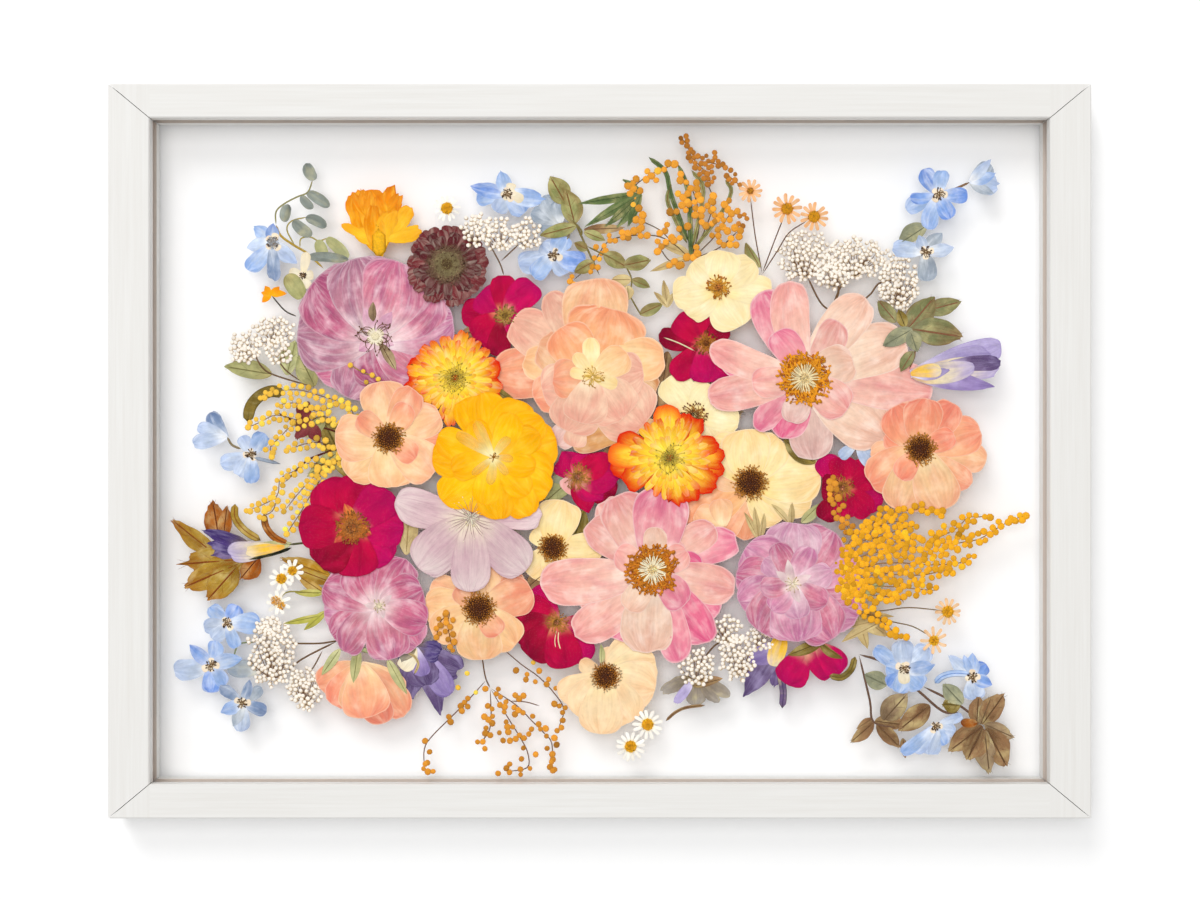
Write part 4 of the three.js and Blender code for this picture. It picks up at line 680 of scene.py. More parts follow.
# %% [markdown]
# ## One specimen, one piece
# A specimen's parts are laid on each other in the order in which they are listed, each a
# few hundredths of a millimetre above the last, inside the layer of the solid that the
# piece replaces. Each closed part is turned the right way out by the sign of its volume.
# The stalks of several specimens share their browns, which are named here.
# %% Put a specimen together
SLOT = {part["node"]: part["material_slot"] for part in frame["record"]["subparts"]}
SHEET_SIZES = {len(grid[3]) for grid in GRIDS.values()}
FLOOR_GAP, SHEET_LIFT, STACK = 0.06, 0.08, 0.42
TWIG, SPRIG, VINE, DAISY_STALK = "#6e5238", "#7c6f3e", "#6b5040", "#6b4a38"
MATERIALS = {}
made = []


def outward(points, faces):
    """Volume of a closed skin: a . (b x c) / 6 over its faces; negative means inside out."""
    a, b, c = (points[faces[:, i]] - points[0] for i in range(3))
    volume = np.einsum("ij,ij->i", a, np.cross(b, c)).sum()
    return faces if volume > 0 else faces[:, ::-1]


def grow(name, layer, growth):
    """One closed mesh of all the parts of a specimen, in place of its plain solid. The
    sheets rise by SHEET_LIFT each, or by less where that many would stack too high."""
    parts = [p for group in growth for p in group]
    sheets = np.array([len(p["faces"]) in SHEET_SIZES for p in parts])
    lift = min(SHEET_LIFT, STACK / max(sheets.sum(), 1)) * np.cumsum(sheets)
    floor = FIRST_LAYER + LAYER * layer + FLOOR_GAP
    slots = [p["finish"] for p in parts]
    order = sorted(set(slots))
    points, faces, start = [], [], 0
    for p, up in zip(parts, lift):
        q = p["points"].copy()
        q[:, 2] += floor + up + swell(q[:, 0], q[:, 1])
        points.append(q)
        faces.append(outward(q, p["faces"]) + start)
        start += len(q)
    points, faces = np.vstack(points), np.vstack(faces)
    mesh = bpy.data.meshes.new(name + "_pressed")
    mesh.vertices.add(len(points))
    mesh.vertices.foreach_set("co", upright(points).astype(np.float32).ravel())
    mesh.loops.add(3 * len(faces))
    mesh.loops.foreach_set("vertex_index", faces.astype(np.int32).ravel())
    mesh.polygons.add(len(faces))
    mesh.polygons.foreach_set("loop_start", np.arange(0, 3 * len(faces), 3, dtype=np.int32))
    which = np.concatenate([np.full(len(p["faces"]), order.index(s)) for p, s in zip(parts, slots)])
    mesh.polygons.foreach_set("material_index", which.astype(np.int32))
    mesh.polygons.foreach_set("use_smooth", np.ones(len(faces), bool))
    mesh.update(calc_edges=True)
    rims = np.concatenate([(p["rim"] > 0.999) & sheet for p, sheet in zip(parts, sheets)])
    ends = np.empty(2 * len(mesh.edges), np.int32)
    mesh.edges.foreach_get("vertices", ends)
    sharp = rims[ends.reshape(-1, 2)].all(axis=1)
    mesh.attributes.new("sharp_edge", "BOOLEAN", "EDGE").data.foreach_set("value", sharp)
    uv = np.vstack([p["uv"] for p in parts])[faces.ravel()]
    mesh.uv_layers.new(name="fibres").data.foreach_set("uv", uv.astype(np.float32).ravel())
    for key in ("tint", "edge"):
        colours = np.vstack([p[key] for p in parts])
        rgba = np.column_stack([colours, np.ones(len(colours))]).astype(np.float32)
        mesh.attributes.new(key, "FLOAT_COLOR", "POINT").data.foreach_set("color", rgba.ravel())
    for key in ("rim", "sheer"):
        values = np.concatenate([p[key] for p in parts]).astype(np.float32)
        mesh.attributes.new(key, "FLOAT", "POINT").data.foreach_set("value", values)
    for slot in order:
        mesh.materials.append(MATERIALS[slot])
    piece = bpy.data.objects.new(mesh.name, mesh)
    bpy.context.scene.collection.objects.link(piece)
    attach(piece, "root")
    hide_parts(name)
    made.append(len(faces))
    print(f"{name}: {len(parts)} parts, {len(faces)} faces, z {points[:, 2].min():.2f}"
          f" to {points[:, 2].max():.2f} mm")

# %% [markdown]
# ## Finishes
# A dried petal is matt, streaked by the fibres that run from claw to tip, finely crinkled
# and a little sheer. Its streaks follow the petal, so they read the uv map, stretched
# along the petal; the crinkles are the same noise unstretched. Both also drive the bump.
# %% Helpers for node trees
def new_material(name):
    """Empty node tree of a new material, and its output."""
    material = bpy.data.materials.new(name)
    material.use_nodes = True
    tree = material.node_tree
    tree.nodes.clear()
    output = tree.nodes.new("ShaderNodeOutputMaterial")
    MATERIALS[name] = material
    return tree, output


def add(tree, kind, inputs=None, **settings):
    """New node; inputs are numbers, colours or other nodes' sockets, by socket name."""
    node = tree.nodes.new("ShaderNode" + kind)
    for key, value in settings.items():
        setattr(node, key, value)
    for key, value in (inputs or {}).items():
        if isinstance(value, bpy.types.NodeSocket):
            tree.links.new(value, node.inputs[key])
        else:
            node.inputs[key].default_value = value
    return node


def math(tree, operation, a, b, clamp=False):
    return add(tree, "Math", {0: a, 1: b}, operation=operation, use_clamp=clamp).outputs[0]


def blend(tree, factor, a, b, way="MIX"):
    """Colour a, and b over it by the factor."""
    return add(tree, "Mix", {0: factor, 6: a, 7: b}, data_type="RGBA", blend_type=way).outputs[2]


def ramp(tree, value, low, high, to_low=0.0, to_high=1.0):
    """The value's range from low to high, spread over to_low to to_high."""
    node = add(tree, "MapRange", {0: value, 1: low, 2: high, 3: to_low, 4: to_high})
    return node.outputs[0]


def noise(tree, vector, scale, detail, rough, stretch=(1, 1, 1)):
    mapped = add(tree, "Mapping", {"Vector": vector, "Scale": stretch}).outputs[0]
    return add(tree, "TexNoise", {"Vector": mapped, "Scale": scale, "Detail": detail,
                                  "Roughness": rough}).outputs[0]


def rgba(code):
    return (*linear(code), 1.0)


def read(tree, name, socket="Color"):
    """Attribute of the mesh: tint and edge are colours, rim and sheer are numbers."""
    return add(tree, "Attribute", attribute_name=name).outputs[socket]


def surface(tree, output, strength, distance, height, inputs):
    """Principled skin with a bump, whose distance is in metres."""
    relief = add(tree, "Bump", {"Strength": strength, "Distance": distance, "Height": height})
    skin = add(tree, "BsdfPrincipled", {**inputs, "Normal": relief.outputs[0]})
    tree.links.new(skin.outputs[0], output.inputs[0])


# %% Petal finishes
def petal_finish(name, streak, strength, across, patch=0.3, mottle=0.3, rim=0.35, rim_from=0.93,
                 rim_highlight=0.0):
    """Tint, with patches of the rim's colour and of the streaks', streaks, mottling, a darker
    rim and, where rim_highlight is given, a thin pale line at the very edge, a painted highlight."""
    tree, output = new_material(name)
    uv = add(tree, "UVMap", uv_map="fibres").outputs[0]
    tint, edge = read(tree, "tint"), read(tree, "edge")
    radius, sheer = read(tree, "rim", "Fac"), read(tree, "sheer", "Fac")
    fibres = noise(tree, uv, 1.0, 5.0, 0.62, (1.4, across, 1))
    veins = noise(tree, uv, 1.0, 3.0, 0.5, (2.2, 2.6 * across, 1))
    crinkle = noise(tree, uv, 7.0, 6.0, 0.6)
    cloud = noise(tree, uv, 2.2, 3.0, 0.5)
    drift = noise(tree, uv, 1.0, 2.0, 0.5, (1.0, 0.35 * across, 1))
    colour = blend(tree, ramp(tree, drift, 0.46, 0.68, 0, patch), tint, edge)
    colour = blend(tree, ramp(tree, fibres, 0.47, 0.74, 0, strength), colour, rgba(streak))
    colour = blend(tree, ramp(tree, cloud, 0.5, 0.7, 0, 0.7 * patch), colour, rgba(streak))
    shade = math(tree, "ADD", ramp(tree, crinkle, 0.25, 0.75, 1 - mottle * 0.5, 1.0 + mottle * 0.3),
                 ramp(tree, cloud, 0.3, 0.7, -0.4 * mottle, 0.3 * mottle))
    shade = math(tree, "ADD", shade, ramp(tree, veins, 0.3, 0.7, -0.07, 0.05))
    colour = blend(tree, 1.0, colour, shade, "MULTIPLY")
    colour = blend(tree, ramp(tree, radius, rim_from, 1.0, 0, rim), colour, edge)
    # painted highlight: a thin pale line at the very edge of the petal
    colour = blend(tree, ramp(tree, radius, 0.95, 0.99, 0, rim_highlight), colour, rgba(streak))
    height = math(tree, "ADD", math(tree, "MULTIPLY", fibres, 0.7),
                  math(tree, "MULTIPLY", crinkle, 0.5))
    height = math(tree, "ADD", height, math(tree, "MULTIPLY", veins, 0.3))
    thin = math(tree, "MULTIPLY", sheer, ramp(tree, fibres, 0.3, 0.7, 1.4, 0.6))
    alpha = math(tree, "SUBTRACT", 1.0, thin, True)
    surface(tree, output, 0.5, 0.0006, height, {
        "Base Color": colour, "Alpha": alpha, "Roughness": 0.62, "Specular IOR Level": 0.1})


# the ninth number, where given, is the painted highlight at the rim
for settings in (
    ("blue_petals", "#f1f5fb", 0.6, 7, 0.45, 0.3, 0.3, 0.9, 0.3),
    ("mauve_petals", "#f7e3e6", 0.45, 9, 0.5, 0.35, 0.3, 0.93, 0.3),
    ("crimson_petals", "#c81048", 0.2, 9, 0.5, 0.28),
    ("maroon_bracts", "#94504e", 0.25, 10, 0.5, 0.4),
    ("pink_petals", "#fff3e8", 0.26, 6, 0.5, 0.18, 0.3, 0.9, 0.4),
    ("peach_petals", "#feeccc", 0.25, 6, 0.42, 0.17, 0.3, 0.9, 0.35),
    ("cream_petals", "#fff7e0", 0.25, 7, 0.3, 0.14, 0.3, 0.9, 0.35),
    ("orange_petals", "#ffd24a", 0.5, 8, 0.4, 0.2),
    ("flame_petals", "#ffe05a", 0.5, 9, 0.3, 0.3, 1.0, 0.5),
    ("yellow_petals", "#ffdb4a", 0.35, 7, 0.35, 0.13),
    ("purple_petals", "#b3a6cc", 0.45, 10, 0.5),
    ("ray", "#fbf2dc", 0.3, 7, 0.1, 0.2),
    ("leaf", "#d2c48a", 0.25, 9, 0.6, 0.4),
    ("striped", "#a8708c", 0.45, 14, 0.3, 0.15),
):
    petal_finish(*settings)
print("petal finishes:", len(MATERIALS))

# %% [markdown]
# Stems, hearts, balls and buds take their colour from the same tint attribute, but not
# the streaks: a ball is velvety, a bud waxy, a stem ribbed and matt. Balls, buds and
# hearts get painted shade towards their rims, where their domes turn away.
# %% Plain finishes on the tint
def tinted_finish(name, roughness, scale, bump, painted_rim_shade=0.0, mottle=0.3, sheen=0.0):
    """Tint mottled by a fine noise that is also the bump, with painted shade towards the rim."""
    tree, output = new_material(name)
    spot = add(tree, "TexCoord").outputs["Object"]
    fuzz = noise(tree, spot, scale, 4.0, 0.7)
    shade = ramp(tree, fuzz, 0.3, 0.7, 1 - mottle, 1 + 0.5 * mottle)
    colour = blend(tree, 1.0, read(tree, "tint"), shade, "MULTIPLY")
    # painted shade towards the rim of balls, buds and hearts
    rim = ramp(tree, read(tree, "rim", "Fac"), 0.55, 1.0, 0, painted_rim_shade)
    colour = blend(tree, rim, colour, read(tree, "edge"))
    surface(tree, output, bump, 0.0003, fuzz, {
        "Base Color": colour, "Roughness": roughness, "Specular IOR Level": 0.25,
        "Sheen Weight": sheen})


# the fourth number, where given, is the painted shade at the rim
tinted_finish("stem", 0.7, 900, 0.4)
tinted_finish("heart", 0.8, 1400, 0.7, 0.2, 0.4)
tinted_finish("ball", 0.85, 1500, 0.8, 0.5, 0.22, 0.1)
tinted_finish("bud", 0.5, 1500, 0.3, 0.3, 0.06)

# %% [markdown]
# The frame is soft wood under white paint: satin, with the grain just felt through it.
# The groove that holds the panes is coloured a darker, brownish beige, for the bare wood in
# it and as painted shade in that recess; it shows through the glass. The panes are modelled as
# clear with a faint reflection, instead of as refracting glass, because two flat panes
# bend nothing, and clear panes let the light through to the flowers. The groove is given
# by its depths in millimetres from the back of the rails, and by its half-width and
# half-height in metres; the side rails begin 0.2228 m from the middle.
# %% Paint, glass and metal
SIDE_RAIL = 0.2228
GROOVE_BACK, GROOVE_FRONT = 7.35, 16.62
GROOVE_X, GROOVE_Z = 0.2419, 0.1804


def within(tree, value, middle, half):
    """1 where the value is less than half away from the middle."""
    away = math(tree, "ABSOLUTE", math(tree, "SUBTRACT", value, middle), 0)
    return math(tree, "LESS_THAN", away, half)


def painted_wood():
    """Grain along each rail; bare wood with painted shade where a point is in the groove's box."""
    tree, output = new_material("painted_wood")
    spot = add(tree, "TexCoord").outputs["Object"]
    along_x = noise(tree, spot, 1.0, 5.0, 0.6, (18, 400, 700))
    along_z = noise(tree, spot, 1.0, 5.0, 0.6, (700, 400, 18))
    place = add(tree, "SeparateXYZ", {0: spot})
    side = math(tree, "GREATER_THAN", math(tree, "ABSOLUTE", place.outputs["X"], 0), SIDE_RAIL)
    grain = add(tree, "Mix", {0: side, 2: along_x, 3: along_z}, data_type="FLOAT").outputs[0]
    cloud = noise(tree, spot, 14.0, 3.0, 0.5)
    paint = blend(tree, ramp(tree, grain, 0.35, 0.7, 0, 1), rgba("#e6e5e2"), rgba("#e0deda"))
    paint = blend(tree, ramp(tree, cloud, 0.4, 0.7, 0, 0.4), paint, rgba("#e3e1dd"))
    depth = math(tree, "MULTIPLY", place.outputs["Y"], -1000)
    behind = math(tree, "GREATER_THAN", depth, WALL_GAP + GROOVE_BACK)
    before = math(tree, "LESS_THAN", depth, WALL_GAP + GROOVE_FRONT)
    inner_x = within(tree, place.outputs["X"], 0, GROOVE_X)
    inner_z = within(tree, place.outputs["Z"], -HANG_POINT / 1000, GROOVE_Z)
    groove = math(tree, "MULTIPLY", math(tree, "MULTIPLY", behind, before),
                  math(tree, "MULTIPLY", inner_x, inner_z))
    # the groove's darker beige: bare wood, and painted shade in the recess
    colour = blend(tree, groove, paint, rgba("#d5c9bf"))
    surface(tree, output, 0.12, 0.0002, grain, {
        "Base Color": colour, "Roughness": 0.42, "Specular IOR Level": 0.35})


def clear_pane():
    """Clear, with a faint gloss at grazing angles that casts no shadow."""
    tree, output = new_material("glass")
    clear = add(tree, "BsdfTransparent", {"Color": (1, 1, 1, 1)})
    gloss = add(tree, "BsdfGlossy", {"Color": (1, 1, 1, 1), "Roughness": 0.04})
    facing = add(tree, "LayerWeight", {"Blend": 0.1}).outputs["Fresnel"]
    ray = add(tree, "LightPath").outputs
    lighting = math(tree, "MAXIMUM", ray["Is Shadow Ray"], ray["Is Diffuse Ray"])
    share = math(tree, "MULTIPLY", facing, math(tree, "SUBTRACT", 0.6, lighting, True))
    both = add(tree, "MixShader", {0: share, 1: clear.outputs[0], 2: gloss.outputs[0]})
    tree.links.new(both.outputs[0], output.inputs[0])


def hanger_metal():
    """Brushed brass with dull stains."""
    tree, output = new_material("hanger_metal")
    spot = add(tree, "TexCoord").outputs["Object"]
    brush = noise(tree, spot, 1.0, 4.0, 0.6, (160, 2600, 2600))
    stain = noise(tree, spot, 180.0, 4.0, 0.6)
    colour = blend(tree, ramp(tree, stain, 0.35, 0.75), rgba("#c9b06a"), rgba("#8f7a48"))
    rough = ramp(tree, brush, 0.3, 0.7, 0.28, 0.5)
    surface(tree, output, 0.15, 0.0001, brush, {
        "Base Color": colour, "Metallic": 1.0, "Roughness": rough})


painted_wood()
clear_pane()
hanger_metal()
for node, kept in frame["nodes"].items():
    if SLOT[node] in ("painted_wood", "glass", "hanger_metal"):
        kept.data.materials.clear()
        kept.data.materials.append(MATERIALS[SLOT[node]])
print("finishes:", sorted(MATERIALS))

# %% [markdown]
# ## Upper left
# Blue delphinium florets with a spray of grey-green pods, a ragged orange daffodil, and a
# great mauve bloom whose pale veins run out from a cream heart with brown stamens.
# %% Delphinium with pods, daffodil, mauve bloom
grow("delphinium_upper_left", 0, [
    stem(1.2, [[-138.5, 91.5], [-146.5, 99], [-153, 103], [-160, 108], [-162.5, 113.5]], "#b5953a"),
    stem(0.8, [[-162.5, 113.5], [-162.5, 120], [-158.5, 124], [-152, 127.5], [-146.5, 130],
               [-144, 136.5]], "#8f8a55"),
    stem(0.7, [[-153, 103], [-157, 111], [-154.5, 115.5], [-146.5, 117.5]], "#a3933f"),
    stem(0.7, [[-150.5, 102], [-150, 106.5], [-145.5, 107.5], [-141, 105.5], [-136.5, 107]],
         "#a3933f"),
    pods([[-143, 136, -147.5, 144.5, 6], [-147, 130, -135.5, 122.5, 5.5],
          [-150, 128, -144, 121.5, 4.5], [-158.5, 115, -156.5, 124, 5.5],
          [-147.5, 117.5, -137, 112.5, 5.5], [-154, 115.5, -144.5, 108, 6]], "pod"),
    pods([[-141.5, 106, -137.5, 95.5, 6], [-137, 107, -126, 96.5, 6]], "olive_pod"),
    pods([[-147, 97.5, -126, 96, 5]], "pod"),
    pointed(-164, 104.5, [[-174, 113, 9], [-177.5, 102, 9], [-151.5, 94, 9], [-164, 114.5, 8]],
            ["blue", "pale_blue", "pale_blue", "deep_blue"]),
    petals(-164, 104.5, [[-177, 90.5, 9], [-163, 85, 7]], ["blue", "slate"]),
    small_heart(-164, 104.5, 3),
    disc(-164, 104.5, 3.2, "#b9c0c8", "#8f9cae", 60, 0.4),
    petals(-149, 88, [[-156, 90, 5], [-153, 82.5, 5], [-146.5, 81.5, 5], [-143.5, 88, 5],
                      [-147, 100, 5]], "ivory"),
    small_heart(-149, 88, 1.5),
    pods([[-157, 88.5, -149, 76.5, 9]], "olive"),
    pointed(-165, 78.5, [[-169.5, 74.5, 4], [-170, 79.5, 4], [-168, 83, 4], [-156.5, 79, 4],
                         [-160.5, 82.5, 4]], "daffodil"),
    stem(0.7, [[-165, 78.5], [-158, 70.5], [-152, 67.5]], "#3f3326"),
])
grow("daffodil", 0, [
    petals(-110.5, 99, [[-123, 131, 15], [-102.5, 134.5, 13], [-116, 132, 15], [-110, 129, 15]],
           ["daffodil", "daffodil_deep", "daffodil", "daffodil"]),
    pointed(-117, 118, [[-124, 130, 6], [-120, 132, 5], [-115, 131, 6]], "daffodil_deep"),
    pointed(-107, 120, [[-108, 131, 5], [-103, 134, 6], [-100.5, 130, 5], [-112, 129, 5]],
            "daffodil_deep"),
    petals(-107, 106, [[-94.5, 123.5, 8], [-89, 111, 8]], "daffodil_yellow"),
    petals(-113, 104, [[-122, 111, 7], [-130, 114, 4.5]], "daffodil_yellow"),
    petals(-110.5, 97, [[-114, 124, 8], [-103, 122, 9], [-110.5, 116, 6]],
           ["daffodil", "daffodil_yellow", "daffodil_yellow"]),
    stem(7, [[-110.5, 96.5], [-111, 112]], "#f3b51e"),
])
grow("mauve_bloom_upper_left", 1, [
    petals(-112.5, 57.5, [[-143, 39.5, 28], [-126.5, 26.5, 26], [-106, 33, 30], [-86, 38, 26]],
           ["mauve", "grey_mauve", "dark_mauve", "mauve"]),
    petals(-112.5, 57.5, [[-152, 59, 36], [-143.5, 86, 38], [-122, 97, 36], [-73.5, 67, 34],
                          [-83, 85, 34], [-101, 95.5, 34]],
           ["grey_mauve", "dark_mauve", "grey_mauve", "pink_mauve", "mauve", "mauve"]),
    pointed(-112.5, 57.5, [[-118, 72, 8], [-104, 70, 8], [-103, 53, 7], [-121, 50, 8]],
            "pale_mauve"),
    leaf(-110, 54, -102, 40, 5, "taupe"),
    leaf(-113.6, 65, -113.6, 75, 4, "taupe"),
    stamens(-112.5, 57.5, 22, 3, 9.5, "#7d5a3a", "#6b4326", 0.5, 0.9, 0.34),
    petals(-112.5, 57.5, [[-109, 60.5, 4.5], [-115.5, 61, 4.5], [-116, 54.5, 4.5],
                          [-109.5, 53.5, 4.5]],
           "ivory"),
    cushion(-112.5, 57.5, 2.2, "#efe2bc"),
    stem(0.5, [[-126, 44], [-119, 39.5], [-113, 37.5], [-110, 34]], "#a88a3a"),
    balls([[-125, 43], [-118.5, 40], [-114, 38], [-117, 34.5], [-111, 36]], "gold", 1.6),
])

# %% [markdown]
# ## Left side
# A bud head over olive leaves, mimosa on brown twigs with a curled leaf behind, pale
# florets, a dark iris among amber leaves, and daisies on a sprig.
# %% Bud head, mimosa, pale florets
grow("rice_flower_left", 0, [
    leaf(-164.5, 38.5, -189, 42.5, 9.5, "olive"),
    leaf(-157, 38, -152.5, 56, 9, "pale_green"),
    leaf(-143, 32.5, -151, 48.5, 10, "olive"),
    stem(0.8, [[-174, 50], [-169, 41.5], [-161.5, 37.5], [-143, 32]], TWIG),
    stem(0.7, [[-164, 50], [-158, 41], [-150, 35]], TWIG),
    cluster(-178, 52, 8.5, 8, 7),
    cluster(-164, 60, 11, 8, 8),
    cluster(-161, 50, 6.5, 6.5, 5),
])
grow("mimosa_left", 2, [
    leaf(-124, -14, -140, 18, 14, "olive_brown"),
    leaf(-128, 2, -147, -13, 8, "olive"),
    stem(1.0, [[-122, 5], [-136, 11], [-149, 13], [-163, 20]], "#5a2418"),
    stem(1.0, [[-122, 5], [-135, 0], [-147, -5], [-158, -16]], "#5a2418"),
    leaf(-146, 25, -151.5, 5, 7, "maroon"),
    leaf(-138, 18, -147.5, 6.5, 7, "olive"),
    pointed(-146, 14, [[-152, 24, 8], [-140, 4, 8], [-153, 6, 7]], "maroon"),
    strap(6, [[-176.5, 14.5], [-175, 22], [-170.5, 27.5], [-164, 30], [-158.5, 28.5]],
          "olive_brown"),
    twig([[-122, 5], [-124, 20], [-132, 25], [-141, 28], [-150, 30.5], [-158, 30.5], [-164, 30],
          [-170, 26.5]]),
    twig([[-122, 5], [-137, 17], [-146, 14.5], [-155, 12], [-160, 7], [-165, 2], [-164, -4]]),
    twig([[-150, 15], [-162, 18], [-170, 14.5], [-177, 11.5]]),
    twig([[-122, 5], [-134, 0], [-139, 4], [-148, 3.5], [-157, 0]]),
    twig([[-122, 5], [-133, -7], [-145, -6], [-153, -10], [-160, -14], [-161.5, -22],
          [-168, -26.5], [-177, -30]]),
    twig([[-161.5, -22], [-164, -30], [-171, -33.5]]),
    twig([[-122, 5], [-131, -5], [-138, -9], [-141, -16], [-146, -24], [-150, -31], [-154, -37],
          [-157, -42]]),
    twig([[-133, 22], [-142, 20], [-152, 24], [-162, 23]]),
    twig([[-133, -7], [-142, -12], [-150, -20], [-158, -30]]),
])
grow("delphinium_left", 0, [
    petals(-187, 7, [[-196, 19.5, 8], [-202, 12.5, 7], [-204.5, 4, 8]],
           ["slate", "pale_blue", "pale_blue"]),
    stem(1.2, [[-187, 7], [-184.5, 3], [-180, 1]], "#8a7a5c"),
    petals(-175, -2, [[-180, 7.5, 7], [-168, 9, 9], [-190.5, -6.5, 9], [-182, -13, 8],
                      [-175, -16.5, 8]], ["pale_blue", "blue", "pale_blue", "pale_blue", "blue"]),
    stem(1.8, [[-175, -3], [-160, -6.5]], "#9aa6b8"),
    small_heart(-175, -1.5, 2.6),
])
# %% Iris with autumn leaves, daisies on a sprig
grow("iris_left", 0, [
    leaf(-193, -52, -216, -33.5, 9, "amber"),
    leaf(-191, -44, -194.5, -24, 11, "rust"),
    leaf(-189, -44, -187, -27, 7, "rust"),
    leaf(-174, -54, -213, -57, 16, "amber"),
    leaf(-180, -56, -210, -69, 15, "amber"),
    leaf(-182, -58, -197.5, -75.5, 14, "amber"),
    leaf(-171, -53, -181, -65, 10, "rust"),
    strap(4, [[-170, -45], [-178, -40], [-183, -33.5], [-183, -26.5]], "amber"),
    strap(3.6, [[-156, -47], [-163, -43.5], [-167.5, -38], [-168.5, -31.5]], "rust"),
    leaf(-154.5, -46.5, -182, -50, 6, "pale_green"),
    pointed(-175, -48, [[-196, -52.5, 10], [-186, -52.5, 9], [-198, -46, 9], [-200.5, -39.5, 8]],
            ["purple", "lilac", "dark_iris", "dark_iris"]),
    petals(-160, -48.5, [[-185, -53, 8], [-187, -49.5, 8]], "freesia_yellow"),
    petals(-158, -48, [[-178, -50.5, 6]], "freesia_claw"),
    strap(1.6, [[-154.5, -48.5], [-163, -51.5], [-176, -54.5]], "black_green"),
    stem(1.1, [[-156, -47], [-147, -46]], "#4c4a2c"),
])
grow("feverfew_sprig", 2, [
    leaf(-135, -62.5, -161, -53.5, 7, "ochre"),
    leaf(-134, -66, -155, -58, 6, "amber"),
    leaf(-137, -72, -152, -62, 5, "ochre"),
    leaf(-138, -71, -153, -71, 4, "chartreuse"),
    leaf(-137, -82, -159, -86.5, 3.5, "chartreuse"),
    leaf(-137, -80, -148.5, -90, 4, "chartreuse"),
    stem(1.0, [[-134.5, -63], [-137, -72], [-137.5, -82]], "#8f8438"),
    stem(0.7, [[-160, -74], [-155.5, -70.5], [-139, -71.5]], "#8f8438"),
    rays(-161, -76, 9, 1, 6.6, 1.9, 20, "white_ray"),
    disc(-162.5, -75, 2.4, "#e89a1e", "#f0ab24", 46, 0.42),
    disc(-159.5, -77.5, 2, "#e89a1e", "#f0ab24", 36, 0.42),
    daisy(-154, -60, 9, 1.8, 6.2, 2.6, 30),
    daisy(-159.5, -64, 9, 2.1, 6.6, 2.7, 10),
])

# %% [markdown]
# ## Lower left
# Three delphinium florets, a loose bud head, mauve and crimson blooms and a peach bud.
# %% Florets and buds
grow("delphinium_lower_left", 0, [
    stem(0.8, [[-184, -104], [-181, -97], [-172.5, -96]], "#7f8a68"),
    pods([[-171, -109, -187, -109.5, 9]], "grey_blue"),
    petals(-187, -87, [[-196, -78, 8], [-181.5, -77.5, 9], [-170, -87, 11], [-199, -88.5, 8],
                       [-194.5, -94.5, 8], [-182, -99, 7]],
           ["blue", "deep_blue", "blue", "pale_blue", "pale_blue", "blue"]),
    small_heart(-187, -86.5, 2.6),
    petals(-195, -107.5, [[-193, -95, 8], [-214, -110, 11], [-195, -121.5, 10], [-188, -118, 7]],
           ["blue", "pale_blue", "deep_blue", "blue"]),
    pointed(-195, -107.5, [[-206, -97, 8], [-179, -104, 9]], ["deep_blue", "blue"]),
    small_heart(-195, -107.5, 2.8),
    petals(-179.5, -126.5, [[-191, -118, 6], [-169.5, -118.5, 6], [-167, -131, 7], [-180, -141, 8]],
           ["slate", "grey_blue", "slate", "pale_blue"]),
    pointed(-179.5, -126.5, [[-175.5, -114, 6], [-184, -138.5, 7], [-190.5, -131.5, 8]],
            ["slate", "grey_blue", "blue"]),
    small_heart(-179.5, -126.5, 2.6),
])
grow("rice_flower_lower_left", 1, [
    stem(0.9, [[-131, -95], [-140.5, -96.5], [-156, -96.5]], TWIG),
    stem(0.9, [[-131, -95], [-149.5, -104.5], [-158, -112]], TWIG),
    stem(0.7, [[-139, -100], [-144, -109], [-148, -112]], TWIG),
    cluster(-164.5, -101, 12, 17, 10),
    cluster(-166, -88, 6, 6, 5),
    cluster(-148, -119, 8.5, 11, 7),
])
grow("mauve_bloom_lower_left", 3, [
    leaf(-97, -52, -95, -24, 10, "straw"),
    petals(-110.5, -77.5, [[-138.5, -81, 20], [-134, -93, 18], [-128, -101, 16], [-91, -98, 22],
                           [-104, -104.5, 22]],
           ["pink_mauve", "rose_mauve", "mauve", "mauve", "mauve"]),
    petals(-110.5, -77.5, [[-138.5, -67, 22], [-124.5, -57, 20], [-111, -52, 20], [-97, -54, 20],
                           [-88.5, -69, 22], [-86.5, -86, 18]], "rose_mauve"),
    pointed(-110.5, -77.5, [[-108, -84, 4], [-104, -72, 4], [-118, -77, 4]], "blush"),
    cushion(-110.5, -77.5, 1.6, "#e9d9b4"),
    stamens(-110.5, -77.5, 14, 0.5, 3.4, "#e9dcc0", "#c9b07a", 0.35),
])
grow("crimson_bloom_left", 4, [
    petals(-124, -38.5, [[-104.5, -55, 18], [-98, -39, 19], [-139.5, -15.5, 22], [-121, -12, 20],
                         [-104, -20.5, 20]],
           ["magenta", "magenta", "crimson", "crimson", "magenta"]),
    petals(-124, -38.5, [[-121, -63, 22], [-141.5, -57, 22], [-151, -38, 22]],
           ["crimson", "dark_crimson", "crimson"]),
    pointed(-124, -38.5, [[-128, -26, 7], [-133, -46, 6], [-114, -42, 8]], "claw_orange"),
    stamens(-124, -38.5, 90, 2, 8.5, "#c0702c", "#a0602c", 0.6, 0.5, 0.4),
    disc(-124, -38.5, 5.2, "#8a5a34", "#b87838", 130, 0.5),
])
